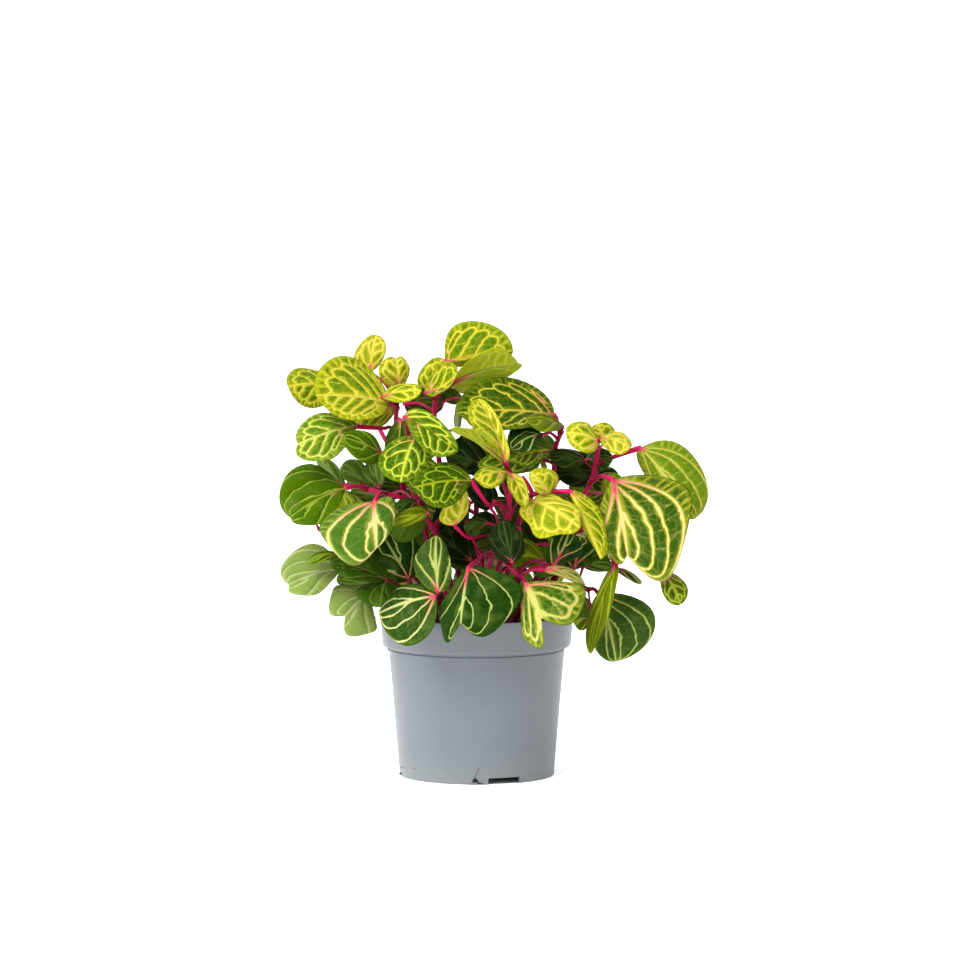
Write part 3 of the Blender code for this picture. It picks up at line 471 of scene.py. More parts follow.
# An older leaf deep in the plant, which CAD leaves out. One depth sets its four points, which are (x, z).
def innerLeaf(tone, depth, base, tip, left, right):
    bend = 0.07 * math.dist(base, tip)
    return leaf(tone, (*base, depth), (*tip, depth - 2), (*left, depth + 1), (*right, depth + 1), arch=bend,
                curl=bend)


# They close the gloom behind the shown ones.
innerLeaves = {
    "leafy_stem_upper_left": [
        innerLeaf("shade", -16, (-47, 220), (-49, 189), (-57, 204), (-39, 204)),
        innerLeaf("lime", 4, (-49, 230), (-77, 220), (-62, 215), (-63, 232)),
    ],
    "leafy_stem_top": [
        innerLeaf("olive", 10, (-45, 230), (-20, 232), (-35, 241), (-32, 222)),
        innerLeaf("pale", 9, (-12, 214), (-11, 231), (-14, 223), (-9, 222)),
        innerLeaf("dusk", 13, (-9, 233), (-24, 237), (-16, 240), (-16, 230)),
    ],
    "leafy_stem_centre": [
        innerLeaf("dusk", 5, (7, 192), (-19, 200), (-8, 187), (-5, 209)),
        innerLeaf("dusk", 11, (9, 165), (-3, 184), (-4, 171), (11, 179)),
        innerLeaf("dusk", 11, (32, 174), (14, 180), (22, 170), (23, 186)),
        innerLeaf("dusk", -51, (22, 132), (16, 158), (8, 143), (29, 145)),
    ],
    "leafy_stem_left_front": [
        innerLeaf("shade", 11, (-44, 178), (-62, 180), (-53, 171), (-52, 187)),
    ],
    "leafy_stem_low_middle": [
        innerLeaf("dusk", 9, (16, 142), (-4, 159), (2, 145), (11, 161)),
        innerLeaf("dusk", 3, (-8, 153), (-12, 127), (-18, 140), (0, 138)),
        innerLeaf("dusk", -1, (-2, 132), (-24, 150), (-20, 135), (-5, 155)),
        innerLeaf("olive", 3, (42, 132), (17, 156), (22, 138), (39, 154)),
        innerLeaf("shade", -39, (27, 153), (13, 140), (14, 152), (25, 139)),
    ],
    "leafy_stem_right": [
        innerLeaf("dusk", 11, (77, 189), (49, 189), (62, 179), (62, 200)),
        innerLeaf("moss", 17, (80, 174), (57, 179), (69, 168), (70, 186)),
        innerLeaf("lime", 4, (80, 205), (75, 218), (70, 211), (85, 214)),
    ],
    "leafy_stem_left": [
        innerLeaf("grey", 4, (-82, 179), (-98, 197), (-94, 185), (-87, 192)),
        innerLeaf("dusk", 1, (-20, 160), (-42, 132), (-41, 149), (-23, 139)),
        innerLeaf("dusk", -13, (-3, 169), (-26, 153), (-14, 150), (-18, 173)),
        innerLeaf("dusk", -23, (-35, 170), (-49, 145), (-51, 160), (-32, 154)),
        innerLeaf("shade", 3, (-25, 183), (-23, 167), (-31, 174), (-16, 175)),
        innerLeaf("grey", 15, (-56, 173), (-78, 176), (-68, 168), (-67, 183)),
    ],
    "leafy_stem_upper_right": [
        innerLeaf("grey", 9, (50, 200), (28, 207), (38, 196), (41, 212)),
    ],
    "leafy_stem_low_right": [
        innerLeaf("dusk", 4, (65, 111), (65, 93), (61, 102), (72, 102)),
    ],
    "leafy_stem_right_front": [
        innerLeaf("dusk", -9, (51, 142), (36, 124), (35, 138), (53, 128)),
    ],
    "leafy_stem_lower_left": [
        innerLeaf("bottle", 1, (-60, 118), (-87, 122), (-74, 114), (-72, 127)),
    ],
}


# Where the plant stands out: its stems and stalks, the eye the shown side is set out for and how far the rest keeps
# clear of it. reach stretches the depths of the shown side; pairs are (place along the stem, leaf length).
growth = {
    "seed": 11, "stem": 2.1, "stemTip": 1.4, "stalk": 1.0, "foot": 70.0, "collar": 4.0, "bowed": 14.0,
    "bowRise": 0.12, "climb": 0.5, "eye": np.array([2.0, -2400.0, 346.0]), "reach": 1.3, "clear": 4.8, "tries": 40,
    "front": -24.0, "farBow": np.array([0.32, 0.32, 0.55]), "small": 26.0, "samples": 10, "rimGap": 2.5,
    "farPairs": [(0.97, 28), (0.86, 42), (0.72, 54), (0.56, 60), (0.38, 58)], "lowPairs": [(0.62, 36), (0.42, 40)],
    "farTones": ["yellow", "lime", "mid", "bold", "dark"], "lowTones": ["mid", "dark"],
}
# The ranges that a far leaf is drawn from: its turn off its place, rise and droop are slopes, and the others are
# shares of its length.
drawn = {
    "turn": (-0.3, 0.3), "rise": (-0.45, 0.5), "size": (0.9, 1.08), "stalk": (0.24, 0.42), "droop": (0.15, 0.6),
    "tilt": (-0.3, 0.3), "wide": (0.38, 0.46), "fold": (0.0, 0.3), "lobe": (0.0, 0.2), "shrink": 0.35,
    "outward": 0.7, "lifted": 0.35, "widest": 0.48, "arch": 0.07, "curl": 0.06,
}
upright = np.array([0, 0, 1.0])


# The point that shows at x, z of the axis plane, pushed back along the line of sight by depth.
def seen(x, z, depth):
    at = np.array([x, 0.0, z])
    ray = at - growth["eye"]
    return at + ray * (depth * growth["reach"] / ray[1])


# Where points show in the axis plane: each line of sight is cut at y = 0.
def shownAt(points):
    eye = growth["eye"]
    at = eye + (points - eye) * (-eye[1] / (points[:, 1] - eye[1]))[:, None]
    return at[:, 0], at[:, 2]


# A listed leaf with its four points in space.
def placed(row):
    spots = {name: seen(*row[name]) for name in ("base", "tip", "left", "right")}
    return {**row, **spots, "via": None if row["via"] is None else seen(*row["via"])}


# The blade over the disc of radius 1, a along and b across. Along the midrib p runs 0 to 1 as a power of
# (a + 1) / 2, set so that the half is widest at its place; across, each half's own vector is scaled by |b|. The
# midrib arches as 4 p (1 - p), the edges curl as b squared, and lobes carry p on by sin(pi |b|) p squared.
def bladePoints(row, a, b):
    along = row["tip"] - row["base"]
    halves, places = [], []
    for name, place in zip(("left", "right"), row["at"]):
        out = row[name] - row["base"]
        place = out @ along / (along @ along) if place is None else place
        halves.append(out - along * place)
        places.append(min(max(place, 0.3), 0.7))
    upper = unit(np.cross(halves[1] - halves[0], along))
    isLeft, r = b < 0, np.abs(b)
    p = np.clip((a + 1) / 2, 0, 1) ** (np.log(np.where(isLeft, *places)) / np.log(0.5))
    lift = 4 * row["arch"] * p * (1 - p) - row["curl"] * r**2
    p = p + np.where(isLeft, *row["lobes"]) * np.sin(np.pi * r) * p**2
    half = np.where(isLeft[..., None], *halves)
    return row["base"] + along * p[..., None] + half * r[..., None] + upper * lift[..., None]


# A square grid of cells laid on the disc that fills it: u sqrt(1 - v v / 2), v sqrt(1 - u u / 2).
def disc(cells):
    u, v = np.meshgrid(*[np.linspace(-1, 1, cells + 1)] * 2, indexing="ij")
    return u * np.sqrt(1 - v * v / 2), v * np.sqrt(1 - u * u / 2)


# Evenly spread points of a blade, for the tests of clearance.
def bladeSamples(row):
    return bladePoints(row, *disc(growth["samples"])).reshape(-1, 3)


# A stem's middle line: upright through the soil, then by way of the points.
def stemLine(foot, points):
    feet = [np.array([*foot, z]) for z in (growth["foot"], soil["top"] + growth["collar"])]
    return np.vstack([feet[:1], smooth([feet[1], *points], 2)])


# A leaf stalk from the stem to the blade, bowed upwards, then on in the blade for a way. It leaves the stem where
# the stem is nearest, with places above the blade's base counted as further off.
def stalkLine(stem, row):
    into = 1 / 2 if np.linalg.norm(row["tip"] - row["base"]) < growth["small"] else 1 / 4
    end = bladePoints(row, np.array([2 * into - 1]), np.array([0.0]))[0]
    stops = [row["base"]] if row["via"] is None else [row["via"], row["base"]]
    high = np.vstack([a + (b - a) * np.linspace(0, 1, 9)[:, None] for a, b in zip(stem[2:], stem[3:])])
    above = np.maximum(0, high[:, 2] - stops[0][2] + growth["collar"])
    start = high[np.argmin(np.linalg.norm(high - stops[0], axis=1) + growth["climb"] * above)]
    span = np.linalg.norm(stops[0] - start)
    bow = [(start + stops[0]) / 2 + upright * growth["bowRise"] * span] if span > growth["bowed"] else []
    return np.vstack([start, *bow, *stops, end])


# Whether x, z lie inside a closed outline, by the count of edges crossed.
def inside(x, z, corners):
    odd = np.zeros(len(x), bool)
    for (x0, z0), (x1, z1) in zip(corners, corners[1:] + corners[:1]):
        cuts = (z0 > z) != (z1 > z)
        odd ^= cuts & (x < x0 + (z - z0) * (x1 - x0) / ((z1 - z0) or 1e-9))
    return odd


# Whether points stay behind the shown leaves and the pot, and out of the gaps among them.
def hidden(points):
    x, z = shownAt(points)
    free = all(np.all((x - gx) ** 2 + (z - gz) ** 2 > r * r) for gx, gz, r in openGaps)
    return free and bool(np.all(inside(x, z, coverOutline)))


# Whether no point lies within gap of the others.
def clearOf(points, others, gap):
    near = others[np.all((others > points.min(0) - gap) & (others < points.max(0) + gap), axis=1)]
    return not len(near) or bool(np.min(np.linalg.norm(points[:, None] - near[None], axis=2)) > gap)


# Whether points keep clear of the pot and the soil, and don't hang down before the pot.
def offPot(points):
    x, y, z = points.T
    near = (np.hypot(x, y) < pot["rim"] + growth["rimGap"]) | (y < 0)
    return not bool(np.any((z < pot["height"] + 2) & near) or np.mean(y) < growth["front"])


# One drawn leaf: turn is its place round the stem. More effort strays further and shrinks.
def drawnLeaf(rng, start, tangent, turn, size, effort):
    turn += rng.uniform(*drawn["turn"]) * (1 + effort)
    side = np.cross(tangent, upright)
    side = unit(side) if np.linalg.norm(side) > 0.1 else np.array([1.0, 0, 0])
    out = math.cos(turn) * side + math.sin(turn) * np.cross(side, tangent)
    outward = start * [1, 1, 0]
    outward /= max(np.linalg.norm(outward), 1.0)
    heading = unit(out + drawn["outward"] * outward + upright * rng.uniform(*drawn["rise"]))
    length = size * rng.uniform(*drawn["size"]) * (1 - drawn["shrink"] * effort)
    base = start + (heading + upright * drawn["lifted"]) * rng.uniform(*drawn["stalk"]) * length
    droop = unit(heading - upright * rng.uniform(*drawn["droop"]))
    up = upright + 0.5 * outward + np.array([rng.uniform(*drawn["tilt"]), rng.uniform(*drawn["tilt"]), 0])
    up = unit(up - droop * (up @ droop))
    wide = length * rng.uniform(*drawn["wide"])
    fold = up * wide * rng.uniform(*drawn["fold"])
    half, middle = np.cross(droop, up) * wide, base + droop * length * drawn["widest"] + fold
    return {"base": base, "tip": base + droop * length, "left": middle - half, "right": middle + half,
            "lobes": (rng.uniform(*drawn["lobe"]), rng.uniform(*drawn["lobe"])), "at": (None, None),
            "arch": drawn["arch"] * length, "curl": drawn["curl"] * length, "via": None, "ripple": 0.0,
            "drawn": True}


# Opposite pairs along a stem, each pair a quarter turn on, kept clear of every other leaf and stem. The youngest
# pairs are the palest.
def farLeaves(rng, name, pairs, kinds, stems, bodies, spreads):
    line = stems[name]["line"]
    others = np.vstack([points for other, points in bodies.items() if other != name])
    for k, (place, size) in enumerate(pairs):
        at = int(round(place * (len(line) - 1)))
        tangent = unit(line[min(at + 1, len(line) - 1)] - line[at - 1])
        for half in (0, math.pi):
            for attempt in range(growth["tries"]):
                row = drawnLeaf(rng, line[at], tangent, k * math.pi / 2 + half, size, attempt / growth["tries"])
                spread = bladeSamples(row)
                body = np.vstack([spread, smooth(stalkLine(line, row), 6)])
                if (offPot(body) and hidden(body) and clearOf(body, others, growth["clear"])
                        and clearOf(spread, spreads[name], growth["clear"])):
                    bodies[name] = np.vstack([bodies[name], body])
                    spreads[name] = np.vstack([spreads[name], spread])
                    stems[name]["leaves"].append({**row, "tone": kinds[k]})
                    break


# Every leafy stem as its middle line and its leaves: the listed ones, the drawn ones, the ones deep within.
def planStems():
    rng = random.Random(growth["seed"])
    stems, bodies, spreads = {}, {}, {}
    for name, (foot, route, rows) in shownStems.items():
        line = stemLine(foot, [seen(*p) for p in route])
        stems[name] = {"line": line, "leaves": [placed(row) for row in rows]}
    for name, (foot, top) in farStems.items():
        low, top = np.array([*foot, soil["top"] + growth["collar"]]), np.array(top, float)
        stems[name] = {"line": stemLine(foot, [low + (top - low) * growth["farBow"], top]), "leaves": []}
    for name, made in stems.items():
        own = [bladeSamples(row) for row in made["leaves"]]
        stalks = [smooth(stalkLine(made["line"], row), 6) for row in made["leaves"]]
        spreads[name] = np.vstack([np.full((1, 3), 9999.0), *own])  # a far point stands in for no blade
        bodies[name] = np.vstack([smooth(made["line"], 4), *own, *stalks])
    for name in farStems:
        farLeaves(rng, name, growth["farPairs"], growth["farTones"], stems, bodies, spreads)
    for name in shownStems:
        farLeaves(rng, name, growth["lowPairs"], growth["lowTones"], stems, bodies, spreads)
    for name, rows in innerLeaves.items():
        stems[name]["leaves"] += [placed(row) for row in rows]
    return stems


# The leaves' make-up. Cells are along one side of a blade's grid, even so that the midrib is one of its lines;
# feathered leaves have side veins all along the midrib, joined by arches at loop of the way out; arched ones have
# them fan out from near the stalk, one to each fanEach of half width, the outermost at fanPlace of the way out,
# and run to the tip. rayGap, rungGap and netGap are the spacing of the short outer veins, of the rungs between
# side veins and of the net; dim turns a tone as it looks in full light into the blade's own colour, give or take
# its spread, and under is what each tone turns to below.
blades = {
    "seed": 23, "cells": 36, "farCells": 24, "smallCells": 20, "small": 30.0, "thick": 0.55, "edge": 0.3,
    "grown": 40.0, "wave": 0.6, "waves": 4, "ripples": 5, "pillow": 0.95, "pillowWide": 2.6, "veinEach": 10.5,
    "veinCount": (3.0, 5.4), "lean": 0.5, "stagger": 0.24, "loop": 0.7, "loopBulge": 0.12, "fanEach": 15.0,
    "fanPlace": 0.82, "flare": 0.14, "drift": 1.4, "rayGap": 4.4, "netGap": 3.6, "rungGap": 7.5, "cutOff": 40.0,
    "above": 40.0, "wander": 14.0, "dim": 0.4, "spread": (0.93, 1.07), "pink": "B4064E", "blush": "B8585A",
    "under": "62821C", "paintedSheen": "52662C",
}

# Each tone: the blade amid the veins, the blade beside them, the veins, all as they look in full light; the veins'
# width and the width of the paler band beside them in mm, the strength of the net, how far pink runs out along
# the veins in mm, and whether the veins are arched. Some tones are painted light or shade: glow, sunlit and the
# golden tone are brighter copies, painted light for leaves that the lamp lights too little, and shade and dusk are
# darker copies, painted shade for leaves deep in the plant.
tones = {
    "lime": ("5C8600", "B0B810", "F0E24C", 1.1, 2.0, 0.75, 9, False),
    # Painted light: glow, sunlit and the golden tone below are brighter copies for leaves that the lamp lights too
    # little.
    "glow": ("6A9202", "D2D21A", "FEF25C", 1.2, 2.3, 0.8, 9, False),
    "sunlit": ("C0D820", "E4E830", "FFFA66", 1.0, 2.0, 0.6, 14, False),
    "litGolden": ("D4EC1C", "FAFA2C", "FFFF74", 1.0, 2.0, 0.5, 14, False),
    "yellow": ("86A00A", "D0C824", "F4E45C", 1.2, 2.2, 0.8, 6, False),
    "fresh": ("5C8808", "A0B42A", "ECF27A", 1.0, 2.0, 0.6, 9, False),
    "mid": ("3E6800", "829E0A", "DCE250", 1.0, 1.6, 0.6, 9, False),
    "moss": ("345600", "5E7A04", "B0C428", 0.9, 1.3, 0.6, 9, False),
    "deep": ("345A04", "7C900C", "E2D44A", 1.15, 1.6, 0.5, 22, False),
    "dark": ("1E4206", "3C660C", "C8D078", 0.8, 0.8, 0.06, 12, True),
    "bottle": ("3C6206", "466E0A", "8CA040", 0.6, 0.6, 0.03, 6, True),
    "night": ("2E5208", "54840E", "ECECA0", 1.15, 0.9, 0.2, 12, True),
    "slate": ("3E5E20", "708A1C", "CCD478", 1.0, 1.2, 0.15, 10, True),
    # Painted shade: dusk and shade are darker copies for leaves deep in the plant.
    "dusk": ("1A2A08", "26360E", "44562A", 0.6, 0.8, 0.05, 6, True),
    "shade": ("2C4208", "3E5616", "5C7230", 0.6, 0.8, 0.05, 6, True),
    "bold": ("4A761C", "98AE38", "F4E894", 1.8, 2.0, 0.2, 20, True),
    "blaze": ("345C04", "A6AC1C", "FAE68A", 1.7, 2.0, 0.4, 22, True),
    "green": ("527800", "648600", "B0C444", 0.8, 1.0, 0.03, 9, True),
    "cream": ("3E6C08", "98A42C", "DCD874", 2.0, 1.8, 0.9, 12, False),
    "pale": ("9CB458", "AEC06C", "D0E096", 0.9, 1.2, 0.03, 3, True),
    "backlit": ("6C9010", "A0AC26", "DCDC60", 0.9, 1.8, 0.6, 9, True),
    "under": ("667800", "808E10", "A8B424", 0.8, 1.2, 0.2, 6, True),
    "olive": ("36400A", "444E10", "5C6A1E", 0.6, 1.0, 0.0, 6, True),
    "grey": ("668A20", "80A044", "A0B860", 0.7, 1.0, 0.05, 3, True),
}

# What the materials read: each attribute's numbers, in threes, and the colours. On a stem or stalk the numbers of
# leafMap are the share of the way to a blade, and 1 where it is a blade's ridge.
leafMarks = {
    "leafMap": ("along", "across", "seed"), "leafVein": ("phase", "phaseSpan", "rho"),
    "leafRay": ("turn", "turnSpan", "beyond"), "leafHand": ("width", "net", "side"),
    "leafBand": ("band", "blush", "beyondSpan"), "leafRung": ("rung", "blank", "blank"),
}
leafColours = ("patchColour", "bodyColour", "veinColour")


# The veins as fields over a blade. A side vein is met where phase is whole. Feathered: it leaves the midrib at k
# and leans towards the tip by lean times the distance out to the power 1.3. Arched: it fans out from near the
# stalk and draws nearer the rim, so dense * out / (1 - exp(-s / flare)) + 1/2 - drift s is the same all along it.
# beyond tells where the side veins end, rung counts the cross veins, turn is the angle round the rim counted in
# short outer veins. Each field comes with the mm that one unit of it spans, from its slope over the surface.
def veinFields(spots, a, b, length, halves, arched, rng):
    s, rho, angle = (a + 1) / 2, np.hypot(a, b), np.arctan2(b, a)
    out = np.clip(np.abs(b) / np.sqrt(np.maximum(1 - a * a, 1e-4)), 0, 1)
    shifts = [rng.uniform(0, 2 * math.pi) for _ in range(3)]
    warp = 0.10 * np.sin(3.1 * a + 2.0 * b + shifts[0]) + 0.07 * np.sin(5.3 * b - 3.7 * a + shifts[1])
    offset = rng.uniform(-0.2, 0.2)
    middle = a.shape[1] // 2

    def bySide(left, right):
        return np.where(b < -1e-9, left, np.where(b > 1e-9, right, (left + right) / 2))

    if arched:
        many = [max(1, round(half / blades["fanEach"])) for half in halves]
        dense = [(n - 0.5 + blades["drift"] / 2) / blades["fanPlace"] for n in many]
        rise = np.maximum(1 - np.exp(-s / blades["flare"]), 0.04)
        phases = [d * out / rise + 0.5 - blades["drift"] * s for d in dense]
        beyond = bySide(*[(phase - n) / d for phase, n, d in zip(phases, many, dense)])
        phases = [phase + warp * np.clip(-beyond * 4, 0, 1) for phase in phases]
        rung = s * length / blades["rungGap"]
    else:
        count = np.clip(length / blades["veinEach"], *blades["veinCount"])
        k = (s - blades["lean"] * out**1.3) / (1 - 0.13 * out**1.3)
        phases = [count * k + shift * out + warp + offset for shift in (-blades["stagger"], blades["stagger"])]
        rung = np.abs(b) * length * 0.42 / blades["rungGap"]  # a half is about 0.42 of the length wide
        beyond = rho - blades["loop"] - blades["loopBulge"] * np.abs(np.sin(math.pi * bySide(*phases)))
    rim = length * 0.4 / blades["rayGap"]  # per radian: the rim is about as far off as 0.4 of the length
    turn = rim * np.abs(angle) + 0.2 * np.sin(9 * angle + shifts[2])
    alongI, alongJ = np.gradient(spots, axis=(0, 1))
    e, f, g = [(p * q).sum(-1) for p, q in ((alongI, alongI), (alongI, alongJ), (alongJ, alongJ))]
    area = np.maximum(e * g - f * f, 1e-6)

    def span(field):
        i = np.gradient(field, axis=0)
        left, right = np.gradient(field[:, :middle + 1], axis=1), np.gradient(field[:, middle:], axis=1)
        j = np.hstack([left[:, :middle], right])  # each half by itself, as the midrib is a crease in the fields
        slope = (g * i * i - 2 * f * i * j + e * j * j) / area
        return np.clip(1 / np.sqrt(np.maximum(slope, 1e-6)), 1.0, 80.0)

    return {"phase": bySide(*phases), "phaseSpan": bySide(*[span(phase) for phase in phases]), "rho": rho,
            "turn": turn, "turnSpan": span(turn), "beyond": beyond, "beyondSpan": span(beyond), "rung": rung}


# The distance in mm from the nearest vein, from the same fields. What lies on the wrong side of an arch counts as
# cutOff mm further off for each unit of beyond.
def veinDistance(of):
    off = blades["cutOff"] * of["beyond"]
    side = np.abs(of["phase"] - np.round(of["phase"])) * of["phaseSpan"] + np.maximum(0, off)
    ray = np.abs(of["turn"] - np.round(of["turn"])) * of["turnSpan"] + np.maximum(0, -off)
    return np.minimum.reduce([np.abs(of["across"]), side, np.abs(of["beyond"]) * of["beyondSpan"], ray + 0.6])


# A blade as a closed sheet: the upper skin, the lower skin and the rim between them. The form is the CAD blade's,
# with its rim waved, on a crumpled leaf rippled in and out too, and the skin between the veins puffed up by
# smoothstep of the distance from the veins, less at the rim.
def bladeSheet(row, rng):
    length = np.linalg.norm(row["tip"] - row["base"])
    cells = blades["smallCells"] if length < blades["small"] else blades["farCells" if "drawn" in row else "cells"]
    a, b = disc(cells)
    rho, angle = np.hypot(a, b), np.arctan2(b, a)
    spots = bladePoints(row, a, b)
    push = row["ripple"] * rho**4 * np.sin(blades["ripples"] * angle + 1)
    spots = spots + (spots - spots[cells // 2, cells // 2]) * push[..., None]
    halves = [np.linalg.norm(np.cross(row[name] - row["base"], row["tip"] - row["base"])) / length
              for name in ("left", "right")]
    of = veinFields(spots, a, b, length, halves, tones[row["tone"]][7], rng)
    of |= {"along": (a + 1) / 2 * length, "across": b * np.linalg.norm(row["right"] - row["left"]) / 2}
    alongI, alongJ = np.gradient(spots, axis=(0, 1))
    up = np.cross(alongJ, alongI)
    up /= np.maximum(np.linalg.norm(up, axis=-1, keepdims=True), 1e-9)
    near = np.clip(veinDistance(of) / blades["pillowWide"], 0, 1)
    grown = min(1, length / blades["grown"])
    puff = blades["pillow"] * grown * near * near * (3 - 2 * near) * (1 - 0.75 * rho**8)
    wave = blades["wave"] * grown * rho**4 * np.sin(blades["waves"] * angle + rng.uniform(0, 6.28))
    middle = spots + up * (puff + wave)[..., None]
    thick = up * (blades["edge"] + (blades["thick"] - blades["edge"]) * (1 - rho**2))[..., None] / 2
    count = a.size
    top = np.arange(count).reshape(a.shape)
    low = top + count
    quads = np.stack([top[:-1, :-1], top[:-1, 1:], top[1:, 1:], top[1:, :-1]], -1).reshape(-1, 4)
    under = np.stack([low[:-1, :-1], low[1:, :-1], low[1:, 1:], low[:-1, 1:]], -1).reshape(-1, 4)
    ring = np.concatenate([top[0, :-1], top[:-1, -1], top[-1, :0:-1], top[:0:-1, 0]])
    after = np.roll(ring, -1)
    rim = np.stack([after, ring, ring + count, after + count], -1)
    points = np.vstack([(middle + thick).reshape(-1, 3), (middle - thick).reshape(-1, 3)])
    return {"solid": (points, np.vstack([quads, under, rim]).tolist()), "stalk": False,
            "marks": bladeMarks(row["tone"], of, count, rng)}


# What the material reads of a blade, the same for both skins but for their side; colours are a little lighter or
# darker from leaf to leaf.
def bladeMarks(tone, of, count, rng):
    *colours, width, band, net, blush = tones[tone][:7]
    light = rng.uniform(*blades["spread"]) * blades["dim"]
    of |= {"width": width, "band": band, "net": net, "blush": blush, "seed": rng.uniform(0, 50), "side": 1.0,
           "blank": 0}
    marks = {}
    for title, names in leafMarks.items():
        marks[title] = np.tile(np.stack([np.ravel(of[name]) * np.ones(count) for name in names], -1), (2, 1))
    marks["leafHand"][count:, 2] = -1.0  # the lower skin's side
    for title, code in zip(leafColours, colours):
        marks[title] = np.tile(np.array(linear(code)) * [light, light, light, 1], (2 * count, 1))
    return marks


# What the materials read of a tube along a line. most is how near its far end comes to a blade, from 0 to 1.
def tubeMarks(line, sides, ribs=0.0, most=1.0):
    gone = np.concatenate([[0], np.cumsum(np.linalg.norm(np.diff(line, axis=0), axis=1))])
    rows = np.stack([most * gone / gone[-1], ribs * np.ones(len(line)), np.zeros(len(line))], -1)
    each = np.repeat(rows, [sides + 1, *[sides] * (len(line) - 2), sides + 1], axis=0)
    marks = {title: np.zeros((len(each), 3)) for title in leafMarks}
    marks |= {title: np.ones((len(each), 4)) for title in leafColours}
    return marks | {"leafMap": each}


# The leaf stalk: as in CAD, then on beneath the blade along the midrib as a ridge that thins out. It is thicker
# on a large leaf, and swells where it leaves the stem and where it meets the blade.
def stalkTube(stem, row):
    size = growth["stalk"] * min(1.8, 0.5 + np.linalg.norm(row["tip"] - row["base"]) / 60)
    thin = np.linspace(0, 1, 8)
    a = np.linspace(-1, -0.1, 8)
    rib = bladePoints(row, a, np.zeros(8))
    across = bladePoints(row, a, np.full(8, 0.2)) - bladePoints(row, a, np.full(8, -0.2))
    up = unit(np.cross(across, np.gradient(rib, axis=0)))
    radius = size * (1.25 - 0.95 * np.sqrt(thin))
    under = rib - up * (radius + 0.15)[:, None] * np.minimum(1, thin * 4)[:, None]
    path = smooth(stalkLine(stem, row)[:-1], 5)[:-1]
    share = np.linspace(0, 1, len(path))
    radii = np.concatenate([size * (0.9 + 0.7 * (1 - share) ** 5 + 0.35 * share**4), radius])
    ribs = np.concatenate([np.zeros(len(path)), np.minimum(1, thin * 3)])
    line = np.vstack([path, under])
    return {"solid": tube(line, radii, 8), "stalk": True, "marks": tubeMarks(line, 8, ribs)}


# The stem itself, thinner towards its tip.
def stemTube(line):
    up = np.clip((line[:, 2] - soil["top"]) / max(line[-1, 2] - soil["top"], 1), 0, 1)
    path = np.vstack([line[:1], smooth(line[1:], 4)])
    rise = np.interp(np.linspace(0, 1, len(path)), np.linspace(0, 1, len(line)), up)
    radii = growth["stem"] + (growth["stemTip"] - growth["stem"]) * rise
    return {"solid": tube(path, radii, 12), "stalk": True, "marks": tubeMarks(path, 12, most=0.4)}


# What a blade carries, each number under its own name, and a flat map of it in mm that differs from leaf to leaf.
def readMarks(add):
    of = {title: add("Attribute", attribute_name=title).outputs["Color"] for title in leafColours}
    for title, names in leafMarks.items():
        mark = add("Attribute", attribute_name=title).outputs["Vector"]
        of |= zip(names, add("SeparateXYZ", [mark]).outputs)
    lift = add("Math", [of["seed"], 3.0], operation="MULTIPLY")
    of["aside"] = add("Math", [of["across"]], operation="ABSOLUTE")
    of["flat"] = add("CombineXYZ", [of["along"], of["across"], lift])
    return of


# The veins, as mm off the nearest. Side veins lie where phase is whole, short outer veins where turn is, arches
# where beyond is 0. Noise with 6 mm waves lets them wander, less where they are close; above keeps what is folded
# by ping-pong over 0.
def addVeins(add, of):
    drift = add("TexNoise", {"Vector": of["flat"], "Scale": 0.16, "Detail": 2.0, "Roughness": 0.55})
    wobble = add("Math", [drift, 0.5], operation="SUBTRACT")
    loose = add("Math", [of["phaseSpan"], blades["wander"]], operation="DIVIDE")
    loose = add("Math", [loose, 0.5], operation="MINIMUM")
    wavy = add("Math", [wobble, loose, of["phase"]], operation="MULTIPLY_ADD")
    past = add("Math", [wobble, 0.05, of["beyond"]], operation="MULTIPLY_ADD")
    outside = add("Math", [add("Math", [past, 0.0], operation="MAXIMUM"), blades["cutOff"]], operation="MULTIPLY")
    within = add("Math", [add("Math", [past, 0.0], operation="MINIMUM"), -blades["cutOff"]], operation="MULTIPLY")
    off = add("Math", [add("Math", [wavy, blades["above"]], operation="ADD"), 0.5], operation="PINGPONG")
    sideVein = add("Math", [off, of["phaseSpan"], outside], operation="MULTIPLY_ADD")
    off = add("Math", [add("Math", [of["turn"], wobble], operation="ADD"), 0.5], operation="PINGPONG")
    rayVein = add("Math", [off, of["turnSpan"], within], operation="MULTIPLY_ADD")
    arch = add("Math", [past], operation="ABSOLUTE")
    arch = add("Math", [arch, of["beyondSpan"], 0.12], operation="MULTIPLY_ADD")
    midrib = add("Math", [of["aside"], 0.75], operation="MULTIPLY")  # a third wider than a side vein
    slim = add("Math", [of["rho"], -0.75, 1.25], operation="MULTIPLY_ADD")  # veins thin out towards the rim
    main = add("Math", [add("Math", [midrib, sideVein], operation="MINIMUM"), slim], operation="DIVIDE")
    joined = add("Math", [main, arch], operation="MINIMUM")
    return of | {"wobble": wobble, "wavy": wavy, "outside": outside, "rayVein": rayVein, "joined": joined}


